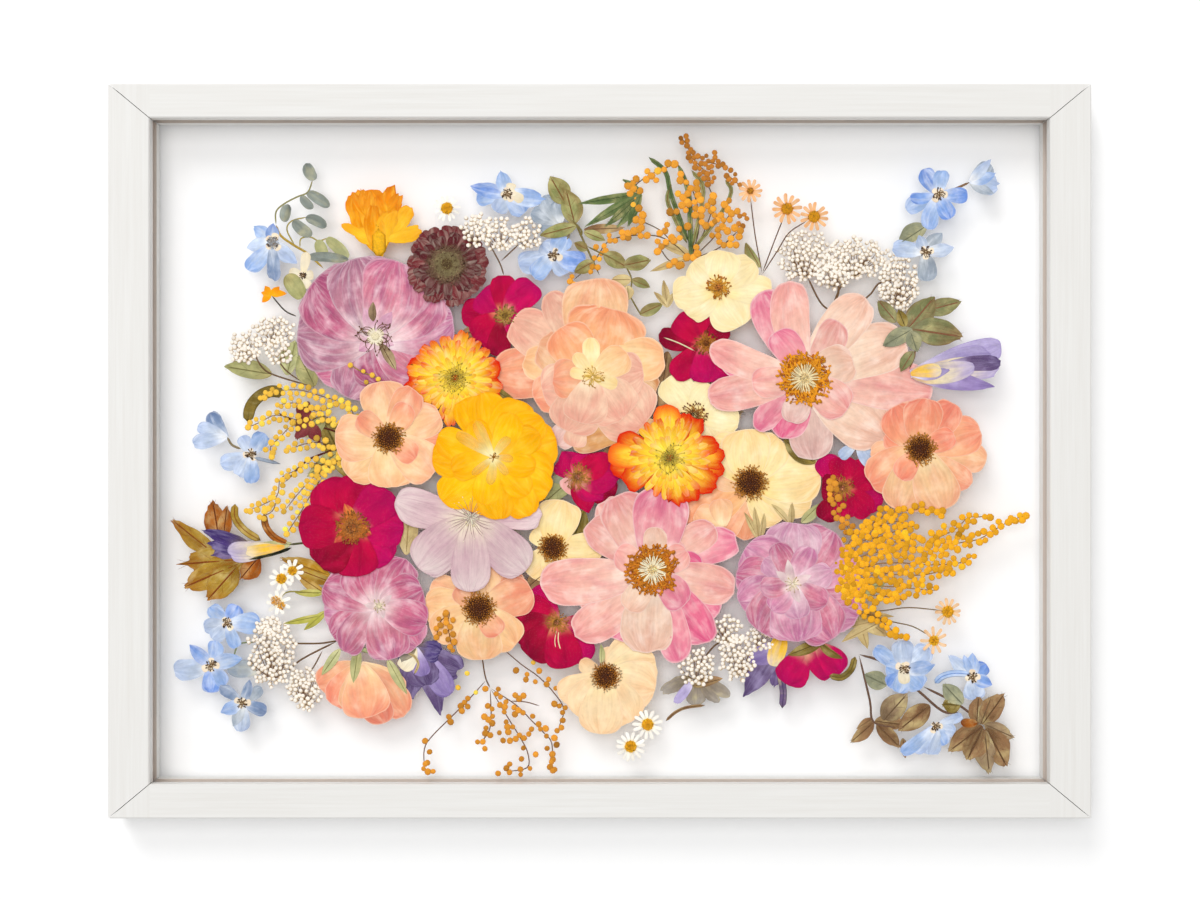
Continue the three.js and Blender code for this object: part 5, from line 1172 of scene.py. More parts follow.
grow("peach_bud", 2, [
    stem(2.4, [[-131, -99.5], [-121, -99], [-107, -103.5]], "#a9ad7c"),
    petals(-120, -107, [[-141.5, -117.5, 15], [-98.5, -122, 15], [-134, -127.5, 16],
                        [-97, -132.5, 16], [-124, -131, 16], [-107.5, -136.5, 16],
                        [-117, -134, 24]],
           ["peach_coral", "peach", "coral", "peach_coral", "peach", "coral", "peach_coral"]),
    leaf(-121, -98.5, -123.5, -116.5, 5.5, "pale_green"),
    leaf(-106.5, -104, -96.5, -122, 5, "pale_green"),
    leaf(-130, -99, -139.5, -112.5, 5, "pale_green"),
])
grow("iris_lower_left", 1, [
    pointed(-92.5, -100, [[-96, -127, 15], [-79.5, -133.5, 12]], "purple"),
    petals(-92.5, -98.5, [[-69, -111, 15], [-75, -122.5, 12], [-86, -118, 16], [-98, -107, 12],
                          [-79, -101, 11]], ["purple", "lilac", "purple", "purple", "dark_iris"]),
    petals(-92.5, -98.5, [[-88, -113, 9], [-99, -110, 9], [-102, -104, 8]],
           ["lilac", "ivory", "grey_taupe"]),
    strap(1.4, [[-97, -101], [-93, -103], [-91, -107], [-93, -112]], "straw"),
])

# %% [markdown]
# ## Middle
# Peach and yellow blooms, a sheer striped cosmos, chrysanthemums with red-tipped rays and
# the large garden rose whose petals are folded over one another.
# %% Peach roses, chrysanthemum, yellow bloom, cosmos
grow("peach_rose_left", 5, [
    petals(-105.5, 6.5, [[-80, 6, 18], [-79.5, 18.5, 18], [-126, -13, 20], [-132.5, 8, 24],
                         [-109.5, 35, 24], [-93, 32, 16], [-104, -18.5, 24], [-83, -12, 22]],
           ["peach_coral", "peach", "apricot", "peach", "peach", "peach_coral", "apricot",
            "peach"]),
    petals(-105.5, 6.5, [[-121, 18, 12], [-96, 24, 12], [-92, -4, 12]], "peach_coral"),
    dark_disc(-105.5, 6.5, 7.5),
])
grow("flame_mum_left", 4, [
    leaf(-96, 26, -82, 20, 6, "brown"),
    leaf(-54, 32, -40, 22, 6, "olive_brown"),
    petals(-72.5, 36.5, [[-98, 29, 14], [-97, 42, 14], [-49, 29, 14], [-49.5, 43, 12]], "flame"),
    rays(-72.5, 36.5, 34, 8, 23.5, 4.2, 4, "flame"),
    rays(-72.5, 36.5, 4, 10, 26, 6, 170, "flame"),
    rays(-72.5, 36.5, 30, 6, 20, 3.2, 11, ["flame", "flame_yellow"]),
    rays(-72.5, 36.5, 26, 4, 16.5, 2.8, 0, "flame_yellow"),
    rays(-72.5, 36.5, 20, 2, 11.5, 2.2, 5, "flame_yellow"),
    disc(-72.5, 36.5, 5.5, "#a8923a", "#d9b43a", 120, 0.5),
    stamens(-72.5, 36.5, 26, 1, 8, "#e8c84a", "#b8a03c", 0.4, 0.7),
])
grow("yellow_bloom", 6, [
    petals(-53, -3, [[-63.5, -31.5, 20], [-79, -25, 20], [-84, -3.5, 20], [-81.5, 7, 16],
                     [-69.5, 25.5, 17], [-59, 29.5, 20], [-38, 25, 21], [-21.5, 6, 24],
                     [-28, 16, 18], [-23.5, -12, 20], [-25, -21, 18], [-34.5, -32.5, 18],
                     [-50, -34.5, 18]], "yellow"),
    petals(-53, -3, [[-30, 9, 15], [-36, -22, 14], [-58, -27, 14], [-74, -10, 14], [-64, 15, 12],
                     [-43, 19, 14], [-32, -8, 12]], "yellow"),
    # small pale glint petals near the heart: a painted highlight on the shiny folds there
    petals(-53, -3, [[-72, 9, 6], [-62, 15, 6], [-55, -17, 5], [-45, 7, 5], [-46, -12, 4],
                     [-64, -12, 4], [-43, -4, 4]], "glint"),
    cushion(-53, -3, 0.8, "#8a5a14"),
    stamens(-53, -3, 9, 0.2, 2.4, "#b87a16", "#7a4c14", 0.3),
])
grow("blush_cosmos", 5, [
    petals(-64.5, -33.5, [[-28.5, -33, 14], [-85, -62.5, 12], [-102.5, -24.5, 19], [-37, -60, 22],
                          [-91, -58.5, 22], [-65, -70.5, 20]], "blush", "striped"),
    stamens(-64.5, -33.5, 26, 0.4, 12, "#a87f86", "#f3ecd2", 0.3, 0.1, 0.2),
    stamens(-64.5, -33.5, 12, 0.4, 4, "#f3ecd2", "#e9d9b0", 0.5, 0.3, 0.4),
])
grow("peach_rose_lower", 2, [
    petals(-60.5, -79, [[-41, -59, 20], [-60, -56, 20], [-84.5, -66, 14], [-33.5, -70, 20],
                        [-88, -77, 20], [-84, -92, 18], [-42, -98, 20], [-59, -105, 23]],
           ["peach_coral", "peach", "peach", "peach_coral", "apricot", "apricot", "apricot",
            "apricot"]),
    petals(-60.5, -79, [[-72, -68, 11], [-50, -92, 12]], "peach_coral"),
    dark_disc(-60.5, -79, 8),
    twig([[-75, -80.5], [-76, -88], [-73.4, -101]], "dull", 2.0, 2.4),
    twig([[-75, -80.5], [-80, -86], [-82, -94]], "dull", 2.2, 1.6),
])
grow("cream_bloom_centre", 1, [
    petals(-23.5, -48.5, [[-35, -63, 16], [-21, -60.5, 14], [-1, -60, 16], [2, -47.5, 16],
                          [-33, -39, 12], [-18.5, -24.5, 22]], "warm_cream"),
    dark_disc(-23.5, -48.5, 7),
])
grow("crimson_bloom_centre", 0, [
    leaf(-14, -14, -28, -26, 9, "olive"),
    leaf(-2, -18, 9, 6, 12, "brown"),
    leaf(-8, -30, -19, -60, 12, "olive_brown"),
    pointed(-11, -13, [[-27, -14, 6]], "sepal_grey"),
    petals(-11, -13, [[-20, -4, 14], [8, -22, 15], [-18, -20, 10]],
           ["magenta", "dark_crimson", "soft_pink"]),
    pointed(-11, -13, [[-5.5, -31.5, 14], [2, -24.5, 16], [-19, 0, 16], [-5, 1, 15],
                       [11.5, -12, 22], [6, -1, 15]],
            ["crimson", "magenta", "magenta", "magenta", "magenta", "crimson"]),
    stamens(-11, -13, 40, 1, 7, "#c98a3a", "#9c6f2c", 0.45, 0.5),
    disc(-11, -13, 3.4, "#7a5a2c", "#9c6f2c", 60, 0.4),
])
# %% Garden rose and its neighbours
grow("garden_rose", 2, [
    petals(-8, 18, [[-22, 3, 14]], "grey_pink"),
    petals(28, 14, [[-14, 3, 15]], "tan"),
    petals(-10, 14, [[-13, 2, 12]], "soft_peach"),
    petals(-4, 40, [[-54.5, 38, 26], [-44.5, 66, 24], [-39, 45.5, 18], [-31.5, 53, 22]],
           ["peach_coral", "soft_peach", "apricot", "peach"]),
    petals(-4, 36, [[-33.5, 26.5, 20], [-29, 30.5, 24], [30, 28, 24], [-17, 10, 26],
                    [22, 12.5, 34]],
           ["peach_coral", "soft_peach", "tan", "soft_peach", "soft_peach"]),
    petals(-2, 42, [[-26, 79.5, 16], [-1.5, 87, 34], [6, 72, 40], [33, 47, 22]],
           ["soft_peach", "peach", "orange_peach", "apricot"]),
    petals(-3.6, 37, [[-20, 62, 24], [22, 40, 22], [-24, 36, 20], [12, 16, 26], [-10, 14, 22]],
           ["orange_peach", "soft_peach", "peach_coral", "soft_peach", "soft_peach"]),
    petals(-3.6, 37, [[-4.5, 57, 9], [14, 49, 16], [-12.5, 49, 7], [9, 33, 7], [-15, 40, 6]],
           ["warm_cream", "apricot", "warm_cream", "warm_cream", "warm_cream"]),
    stamens(-3.5, 37, 26, 0.5, 5.5, "#e8c25a", "#c08a2a", 0.4, 0.6),
])
grow("crimson_rose_top", 1, [
    leaf(-56, 60, -70, 59, 9, "brown"),
    petals(-47.5, 68, [[-69.5, 69.5, 15], [-60.5, 79.5, 17], [-49, 88.5, 13], [-32, 84, 16],
                       [-63, 56, 17], [-52, 47.5, 12], [-38, 62, 14]],
           ["crimson", "magenta", "crimson", "magenta", "crimson", "dark_crimson", "magenta"]),
    stamens(-47.5, 68, 34, 1, 5.5, "#b8904a", "#8a6a34", 0.5, 0.5, 0.4),
    cushion(-47.5, 68, 2.6, "#7a5a28"),
    disc(-47.5, 68, 3.6, "#8a6a30", "#c09a3c", 60, 0.42),
])
grow("maroon_scabiosa", 3, [
    rays(-76.5, 93, 22, 9, 21.5, 6, 8, "maroon"),
    rays(-76.5, 93, 18, 8, 18.5, 6, 17, ["maroon", "dark_maroon"]),
    rays(-76.5, 93, 16, 7, 15.5, 4.5, 5, "dark_maroon"),
    cushion(-76.5, 93.5, 10, "#4c3226", 0.2),
    stamens(-76.5, 93.5, 150, 5.5, 11, "#80624c", "#6b4a3c", 0.34, 0.5, 0.24),
    stamens(-76.5, 93.5, 110, 2.5, 8, "#8f8059", "#a3946a", 0.3, 0.9, 0.24),
    disc(-76.5, 93.5, 4, "#a89a5c", "#8a7c50", 90, 0.3),
])
grow("daisy_top", 4, [daisy(-76.5, 121.5, 13, 2.5, 7, 1.8, 6)])

# %% [markdown]
# ## Top
# More florets, bud heads, a green sprig with a fern leaf, a fan of mimosa and a spray of
# small orange daisies.
# %% Florets, buds and sprig
grow("delphinium_top", 0, [
    stem(1.2, [[-20, 115], [-15.5, 109.5], [-17, 105]], "#8a7a5c"),
    petals(-23, 98.5, [[-41, 94, 12], [-33.5, 87, 10], [-17, 88.5, 9], [-7, 95, 11],
                       [-29.5, 104, 9],
                       [-17, 108, 11]],
           ["pale_blue", "blue", "pale_blue", "deep_blue", "pale_blue", "blue"]),
    small_heart(-23, 98.5, 2.8),
    petals(-19.5, 114.5, [[-30.5, 112, 8], [-34.5, 120, 9], [-28.5, 128, 9], [-21.5, 126, 8]],
           "grey_blue"),
    petals(-46.5, 129, [[-62, 126, 9], [-52, 120, 9], [-37.5, 119, 11]],
           ["blue", "pale_blue", "blue"]),
    pointed(-46.5, 129, [[-65.5, 133, 9], [-26, 126.5, 11], [-50, 141, 9]],
            ["deep_blue", "blue", "blue"]),
    petals(-45, 130, [[-38.5, 125.5, 5], [-44, 134.5, 5], [-49, 127, 5]], "ivory"),
    small_heart(-46.5, 129, 2.6),
])
grow("rice_flower_top", 4, [
    stem(0.7, [[-56, 105], [-50, 94], [-48, 88]], TWIG),
    stem(0.7, [[-40, 104], [-49.5, 95]], TWIG),
    cluster(-62, 110.5, 7.5, 8.5, 7, 0.8),
    cluster(-50, 108.5, 9, 9, 7, 0.8),
    cluster(-36.5, 108.5, 7, 8, 6, 0.8),
])
grow("leaf_sprig_top", 1, [
    stem(1.0, [[-13, 116], [-7, 103], [0, 88]], SPRIG),
    leaf(-17, 124, -25, 138, 11, "sprig_green"),
    leaf(-12.5, 114, -17, 131.5, 11, "sprig_green"),
    leaf(-11.5, 113, -30.5, 108, 7, "sprig_green"),
    leaf(-6, 101, -13, 104.5, 5, "sprig_green"),
    leaf(-3, 95, -13, 89.5, 6.5, "sprig_green"),
    leaf(-8, 111, 13, 112, 5, "brown"),
    leaf(-8, 110, 3, 105.5, 5, "sprig_green"),
    stem(1.0, [[-9, 108], [-9.5, 111], [-14, 116]], SPRIG),
    fronds(21, 129, [[-11, 124, 4.6], [-8, 112, 4.8], [-3, 115, 4], [2, 112, 4.4], [8, 111.5, 4.2],
                     [14, 112, 4.2], [11, 136.5, 3]], "dark_green"),
    stem(0.8, [[-7, 103], [3, 98], [13, 93]], SPRIG),
    leaf(2, 99, 14, 92, 8, "sprig_green"),
    leaf(12, 93, 26, 96, 8, "sprig_green"),
    stem(0.8, [[13, 93], [16, 86], [15, 78]], SPRIG),
    leaf(16, 86, 5.5, 86, 6, "straw"),
    leaf(16, 86, 25.5, 82, 5, "sprig_green"),
    leaf(14, 83, 14.5, 75.5, 6, "straw"),
    stem(0.8, [[15, 78], [19, 71], [21, 68]], SPRIG),
    leaf(20, 68.5, 32, 74, 6, "sprig_green"),
    fronds(34, 72, [[32, 86, 4], [27, 80, 3], [38, 80, 3]], "straw"),
])
# %% Mimosa fan, orange daisies, bud heads
grow("mimosa_top", 0, [
    leaf(46, 98, 30, 104, 5, "straw"),
    leaf(46, 97.5, 25, 90, 4, "straw"),
    strap(2.6, [[46, 96], [45.5, 110], [44.5, 130], [39, 144.5]], "dark_green"),
    strap(2.4, [[45, 104], [36, 128], [33, 140], [24.5, 147.5]], "dark_green"),
    strap(2.2, [[46, 100], [52, 130], [46, 141]], "sprig_green"),
    strap(2.2, [[44, 104], [38, 116], [34, 126], [36, 134]], "sprig_green"),
    strap(2.0, [[46, 100], [60, 118], [66, 130], [63, 136]], "sprig_green"),
    *[stem(0.55, line, "#5a4228") for line in (
        [[46, 96], [37, 104], [28, 108], [15, 108], [4, 105], [-3, 95], [-14, 85]],
        [[37, 104], [30, 111], [18, 118], [16, 130], [24, 138], [37, 143.5]],
        [[46, 96], [50, 114], [47, 130], [41, 137]], [[46, 96], [54, 114], [57, 126], [52, 138]],
        [[46, 96], [58, 108], [66, 120]], [[46, 96], [60, 102], [70, 111]],
        [[46, 96], [36, 95], [30, 102]])],
    bunches([[-14, 85, 3], [-3.5, 91.5, 3], [-1, 96, 2], [2.3, 101, 3], [-2.4, 103, 1], [6, 106, 3],
             [12.5, 107.5, 3]], "amber", 1.75),
    bunches([[16.5, 109.5, 2], [21.5, 108.5, 3], [29.3, 110, 1], [20, 115, 4], [34, 112.4, 2],
             [39, 112.2, 1], [43.3, 112, 1], [36.3, 120.5, 2], [18, 123.5, 4], [17, 130.5, 4],
             [16.5, 135, 2], [25.5, 137, 4], [31.5, 140.5, 2], [36.5, 143.5, 2],
             [30, 103, 4], [35.7, 106, 1], [39.5, 106, 2], [49.2, 101.3, 2], [37, 94, 3],
             [42, 93, 1], [46, 96.5, 2]], "amber", 2.15),
    bunches([[41.5, 136, 3], [42.2, 128.2, 4], [42.2, 121.2, 2], [47.8, 131, 4], [48.3, 124, 4],
             [50, 117.5, 4], [54, 113.8, 2], [55, 122.5, 3], [57.5, 127, 2], [58.5, 118.8, 4],
             [63.5, 123, 3], [66.8, 120, 3], [62.5, 114.8, 4], [69.5, 110.5, 3], [63, 110.6, 2],
             [58.5, 107.5, 4], [65, 104.5, 4]], "amber", 2.1),
    plume(4.6, [[56, 133], [54, 138.8], [49.8, 143.5], [45.7, 148.5], [44, 153], [40.5, 158]],
          1.9, 1.7, "brown"),
    plume(4, [[50.4, 145.5], [57.4, 144.3], [63.8, 142.3]], 1.9, 1.6, "brown"),
    plume(4, [[63.8, 138.8], [67.9, 135.5], [71, 132.5]], 1.9, 1.6, "brown"),
    bunches([[57.4, 148, 2], [72, 118, 3], [70.5, 114, 2]], "brown", 1.6),
])
grow("daisy_spray_top", 1, [
    stem(0.6, [[75.5, 128], [78, 108], [81.5, 89]], DAISY_STALK),
    stem(0.6, [[93, 119], [87.5, 105], [81.5, 89]], DAISY_STALK),
    stem(0.6, [[104, 115.5], [95, 109.5], [89.5, 101], [81.5, 88.5]], DAISY_STALK),
    leaf(80.5, 92, 73, 105, 5.5, "sprig_green"),
    daisy(75.5, 130.5, 11, 1, 6.3, 2.4, 200, "orange_ray", "#b5702e"),
    daisy(94, 121.5, 12, 2.5, 8, 2.6, 5, "orange_ray", "#b5702e"),
    daisy(107.5, 117.5, 12, 2.5, 7.5, 2.5, 18, "orange_ray", "#c98c2c"),
])
grow("rice_flower_top_right", 0, [
    stem(1.2, [[116, 70], [120, 82], [114, 93]], TWIG),
    stem(0.9, [[116, 70], [110.5, 75], [104, 88]], TWIG),
    stem(0.9, [[116, 70], [122, 84], [132, 90]], TWIG),
    stem(0.9, [[118, 69], [134, 77], [140, 84], [148, 86]], TWIG),
    cluster(103, 98, 14, 13, 10),
    cluster(128, 97, 17, 10, 10),
    cluster(150, 85, 10, 14.5, 8),
    cluster(117, 88, 9, 7, 6),
])
grow("cream_bloom_top", 2, [
    petals(59.5, 82, [[60.5, 64, 10], [71, 62.5, 22], [43.5, 68, 16], [36.5, 78, 17],
                      [87, 80.5, 15],
                      [47, 95.5, 17], [78, 94.5, 16], [62, 100.5, 18]], "cream"),
    stamens(59.5, 82, 40, 1, 6, "#d9982c", "#b06a1c", 0.6, 0.5, 0.45),
    cushion(59.5, 82, 2.8, "#a8682a"),
    disc(59.5, 82, 3.8, "#b06a30", "#e0a040", 80, 0.5),
])
grow("crimson_rose_middle", 1, [
    petals(53.5, 54, [[29.5, 58.5, 11], [38, 67, 15], [51, 71, 11], [63, 63.5, 12], [37, 36.5, 13],
                      [53.5, 34, 19], [74.5, 38, 15]],
           ["dark_crimson", "crimson", "crimson", "dark_crimson", "crimson", "magenta", "magenta"]),
    stamens(53.5, 54, 40, 1, 6, "#b8742c", "#7a4420", 0.5, 0.5, 0.4),
    cushion(53.5, 54, 2.8, "#6b3a18"),
    disc(53.5, 54, 3.8, "#7a4420", "#c8802c", 70, 0.45),
    stem(0.7, [[32, 57], [40, 54], [48, 50]], "#ecdcb4"),
])
grow("cream_bloom_middle", 0, [
    leaf(34, 50, 31, 28, 8, "brown"),
    leaf(46, 12, 29, 31, 13, "brown"),
    leaf(50, 14, 74, 20, 12, "taupe"),
    leaf(44, -2, 39, -36, 11, "brown"),
    petals(47.5, 18, [[37, 8, 14], [58, 5, 14], [33.5, 37, 18], [70, 14.5, 15], [56, 33.5, 18]],
           "cream"),
    stamens(47.5, 18, 46, 1, 6.5, "#a8702c", "#7a3a24", 0.5, 0.5),
    disc(47.5, 18, 3.6, "#4a2c1c", "#8a4a2a", 80, 0.4),
])
grow("flame_mum_middle", 4, [
    petals(35, -3.5, [[63, -11, 10], [5, -9, 12], [59, -18.5, 13], [64.5, -5, 13], [60, 3.5, 12],
                      [50.5, 17.5, 12], [11, -17.5, 14], [27, -20, 12], [40, -28.5, 10],
                      [48, -26, 10]], "flame"),
    petals(35, -3.5, [[44, 20, 10], [24.5, 9, 12], [9, 7, 13], [3.5, -1.5, 13], [33, 23.5, 14]],
           ["flame", "flame_yellow", "flame", "flame_yellow", "flame_yellow"]),
    rays(35, -3.5, 30, 4, 22, 3.6, 6, ["flame", "flame_yellow"]),
    rays(35, -3.5, 26, 3, 17, 3.0, 14, "flame_yellow"),
    rays(35, -3.5, 20, 2, 12, 2.6, 0, "flame_yellow"),
    disc(35, -3.5, 4.5, "#8f8a3c", "#c9a83a", 90, 0.5),
    stamens(35, -3.5, 26, 1, 8, "#e0c24a", "#a8983c", 0.4, 0.8),
])

# %% [markdown]
# ## Right side
# Two peonies with a crown of gold stamens, a coral rose, a streaked mauve bloom, dense
# mimosa, freesia and leaves.
# %% Upper peony, coral rose, mimosa
grow("peony_upper", 3, [
    petals(102.5, 37, [[107.5, -4.5, 22], [91, 6, 18], [78, 10.5, 13], [144, 7.5, 30],
                       [60.5, 45.5, 14],
                       [54, 27, 18], [55, 52, 16], [167, 30, 26], [154, 56, 26], [133.5, 77, 22],
                       [120, 65.5, 16], [81, 80, 21], [94.5, 85.5, 20]],
           ["grey_pink", "deep_pink", "pink", "beige", "pink", "soft_pink", "soft_pink",
            "soft_pink", "beige", "beige", "soft_pink", "pink", "soft_pink"]),
    petals(102.5, 37, [[76, 34, 16], [88, 60, 16], [128, 45, 20], [124, 20, 20], [96, 14, 14]],
           ["soft_pink", "pink", "beige", "soft_pink", "grey_pink"]),
    crown(102.5, 36.5, 13.5, "#e8981e"),
])
grow("coral_rose_right", 4, [
    petals(160.5, 1, [[135.5, -2, 15], [143, 9.5, 15], [194, -5, 16], [186, -17, 14], [191, 10, 20],
                      [178, 24, 17], [148, 23, 22], [163.5, 26.5, 20], [135, -16.5, 21],
                      [150, -30, 23], [172, -30, 23]],
           ["peach", "coral", "peach", "peach_coral", "peach_coral", "coral", "coral", "coral",
            "peach_coral", "peach", "peach"]),
    petals(160.5, 1, [[178, 8, 12], [150, -14, 12]], "coral"),
    dark_disc(160.5, 1, 7.5),
])
grow("mimosa_right", 5, [
    leaf(124, -71.5, 143, -66, 8, "pale_green"),
    *[plume(width, line, 2.6, 2.0) for width, line in (
        (7, [[122, -71], [124, -47], [137, -36], [145, -31], [155, -29.5], [163, -29], [171, -32]]),
        (7, [[122, -71], [128, -48], [140, -43], [152, -39], [160, -37]]),
        (7, [[122, -71], [128, -55], [142, -50], [157, -48], [168, -50], [180, -46], [190, -44],
             [200, -38], [207, -34]]),
        (5, [[206, -34.5], [214, -32]]),
        (6.5, [[162, -47], [178, -39], [184, -33.5], [190, -33], [196, -32]]),
        (7, [[122, -71], [134, -58], [150, -56], [165, -57], [180, -56], [187, -52]]),
        (7, [[122, -71], [136, -62], [150, -62], [162, -62], [172, -60], [177, -61]]),
        (7, [[122, -71], [135, -68], [147, -68], [158, -69], [169, -70]]),
        (6.5, [[122, -71], [136, -72], [150, -74], [152, -76]]),
        (6, [[122, -71], [134, -80], [142, -86], [148, -91], [154, -93.5]]),
        (7, [[132, -41], [142, -37], [152, -34.5]]),
        (7, [[132, -52], [146, -46], [160, -43]]),
    )],
])
grow("freesia_right", 5, [
    petals(155.5, 38.5, [[202, 52.5, 14], [196, 49, 12], [201, 41, 11]],
           ["lavender", "lavender", "freesia_yellow"]),
    pointed(155.5, 38.5, [[198.5, 32, 11]], "lilac"),
    petals(172, 43, [[201, 44, 8]], "purple"),
    pods([[155.5, 38.5, 188, 42, 11]], "freesia_yellow", "petal"),
    pointed(155.5, 38.5, [[176, 41, 7]], "lavender"),
    petals(155.5, 38.5, [[171, 40.5, 7]], "freesia_claw"),
])
grow("leaf_spray_right", 4, [
    stem(1.0, [[148.5, 65], [155, 61], [158, 50], [155, 41]], "#8a6a4c"),
    leaf(148.5, 64.5, 139, 76, 7.5, "grey_green"),
    leaf(163, 70, 181.5, 75, 9, "grey_green"),
    leaf(154, 61, 168, 77.5, 13, "grey_green"),
    leaf(156.5, 61, 182.5, 57, 14, "grey_green"),
    leaf(153, 62, 149.5, 71, 5.5, "olive_brown"),
    leaf(156.5, 61, 141.5, 52.5, 8.5, "sepal_grey"),
    leaf(155.5, 60, 159, 49.5, 8, "sepal_grey"),
    leaf(157, 50, 150.5, 39.5, 6, "grey_green"),
])
grow("delphinium_upper_right", 1, [
    leaf(164, 113, 149.5, 103.5, 9, "sepal_grey"),
    stem(1.2, [[170, 129], [177, 131], [186, 135]], "#8a6a4c"),
    petals(163.5, 100, [[146.5, 102, 9], [164, 85, 10]], ["pale_blue", "grey_blue"]),
    pointed(163.5, 100, [[172, 109.5, 9], [178.5, 102, 8], [160, 108.5, 7]],
            ["grey_blue", "pale_blue", "pale_blue"]),
    small_heart(163.5, 100, 2.8),
    petals(170, 128.5, [[153.5, 121, 9], [155.5, 127, 6], [164.5, 111, 9], [176, 116.5, 9],
                        [185, 128, 8], [162, 141.5, 9], [172.5, 141, 8]],
           ["blue", "deep_blue", "blue", "deep_blue", "deep_blue", "deep_blue", "blue"]),
    small_heart(170, 129, 3),
    petals(185.5, 135, [[200, 132.5, 10], [196.5, 143.5, 9]], ["pale_blue", "grey_blue"]),
    pointed(185.5, 135, [[201, 134, 6], [198, 129, 6], [199, 139.5, 7], [196.5, 146.5, 6]],
            ["pale_blue", "grey_blue", "blue", "pale_blue"]),
])
# %% Crimson, mauve and buttercream blooms
grow("crimson_bloom_right", 2, [
    leaf(108, -6, 92, 6, 9, "olive_brown"),
    petals(121.5, -18.5, [[142.5, -24.5, 17], [137, -10, 17], [111, -3, 13], [122, -2.5, 14],
                          [111, -18, 14], [135.5, -32, 13], [111, -34.5, 12], [124, -34, 12]],
           ["magenta", "crimson", "magenta", "crimson", "dark_crimson", "crimson", "dark_crimson",
            "crimson"]),
    stamens(121.5, -18.5, 40, 1, 6.5, "#c98a3a", "#8f5a28", 0.5, 0.5),
    disc(121.5, -18.5, 3.4, "#7a5024", "#a8702c", 60, 0.42),
    plume(6.5, [[116, -13], [118, -23], [121, -33], [127, -42]], 2.6, 2.0, "dull", 0.9),
    petals(128.7, 3.5, [[139.4, 1.2, 6], [137.1, -8, 6], [120.3, -3.4, 6], [123.3, 11.1, 6]],
           "pale_blue"),
])
grow("mauve_bloom_right", 6, [
    petals(96.5, -66.5, [[130, -83, 24], [131, -67, 24], [128, -54, 22], [116.5, -39.5, 24],
                         [97.5, -35, 28], [73, -48, 25], [68, -62, 20], [69, -75, 17],
                         [80.5, -91, 24], [116.5, -94.5, 25], [99, -95.5, 27]],
           ["pink_mauve", "mauve", "pink_mauve", "mauve", "pale_mauve", "pink_mauve", "mauve",
            "pink_mauve", "mauve", "mauve", "pink_mauve"]),
    petals(96.5, -66.5, [[82, -54, 13], [88, -46, 12], [106, -48, 12], [116, -60, 13],
                         [114, -76, 13],
                         [100, -84, 13], [86, -80, 12], [80, -68, 11]],
           ["pale_mauve", "mauve", "pink_mauve", "pale_mauve", "mauve", "pale_mauve", "pink_mauve",
            "mauve"]),
    pointed(96.5, -66.5, [[88, -60, 5], [94, -54, 5], [106, -62, 5], [100, -76, 5]], "blush"),
    stamens(96.5, -66.5, 12, 0.4, 4, "#e9d9b4", "#c9a86a", 0.35),
])
grow("buttercream_bloom", 1, [
    petals(75.5, -16, [[72.5, -45, 16], [53, -46.5, 20], [42, -34, 25], [58, -12, 15],
                       [55, 6.5, 20],
                       [91, -35, 22], [106.5, -27, 20], [111, -11.5, 25], [90, 7.5, 20],
                       [73, 11, 25]],
           ["orange_peach", "peach_coral", "orange_peach", "peach", "warm_cream", "warm_cream",
            "warm_cream", "warm_cream", "warm_cream", "warm_cream"]),
    petals(62, -38, [[48, -30, 12], [60, -24, 12], [56, -46, 12]], "peach"),
    *[leaf(*line, "straw") for line in (
        (80, -45, 72.5, -30.5, 3.2), (80, -45, 77.5, -27.5, 3.4), (80.5, -44, 82.5, -31, 3),
        (95, -36, 86, -26.5, 3.2), (96, -37, 96.5, -25.5, 3.2))],
    leaf(101, -36, 111, -26, 5.5, "pale_green"),
    dark_disc(75.5, -16, 8.2),
])
# %% Lower peony and its neighbours
grow("peony_lower", 3, [
    petals(30, -56, [[70, -45, 18], [58, -38, 16], [0, -25, 18]],
           ["pink", "soft_pink", "soft_pink"]),
    petals(26.5, -60, [[-12, -75, 17], [7, -95, 18], [-12.5, -93, 21], [-30, -66.5, 24],
                       [60, -81, 20],
                       [52.5, -60, 19], [68, -69.5, 20], [55.5, -96, 20], [40, -106, 17],
                       [24, -102, 26], [38, -43, 18], [-6.5, -36, 20], [7.5, -22, 26],
                       [32, -18, 28]],
           ["soft_pink", "pink", "soft_pink", "soft_pink", "pink", "deep_pink", "soft_pink",
            "deep_pink", "pink", "beige", "soft_pink", "soft_pink", "soft_pink", "pink"]),
    petals(26.5, -60, [[8, -50, 14], [14, -80, 14], [42, -78, 16], [44, -50, 14], [28, -38, 12]],
           ["soft_pink", "beige", "pink", "soft_pink", "beige"]),
    crown(26.5, -59.5, 13.5, "#cb7a1e", "#fdf0cc"),
])
grow("crimson_bloom_lower", 1, [
    leaf(-24, -58, -38, -70, 8, "brown"),
    petals(-21.5, -86, [[1.5, -90, 14], [-32.5, -68, 15], [-38.5, -77, 15], [-43.5, -91, 17],
                        [-35.5, -103.5, 19], [-5, -105, 14], [-17, -109, 19]],
           ["magenta", "magenta", "crimson", "dark_crimson", "dark_crimson", "magenta", "crimson"]),
    stamens(-21.5, -86, 40, 1, 5.5, "#c98a3a", "#a8702c", 0.45, 0.5),
    disc(-21.5, -86, 2.6, "#7a5a2c", "#a8762c", 44, 0.38),
    stem(0.8, [[-20.5, -90], [-20.8, -95], [-19.5, -100]], "#f0ddb0"),
    stem(0.6, [[-21.5, -89], [-22.5, -95], [-22, -99]], "#f0ddb0"),
])
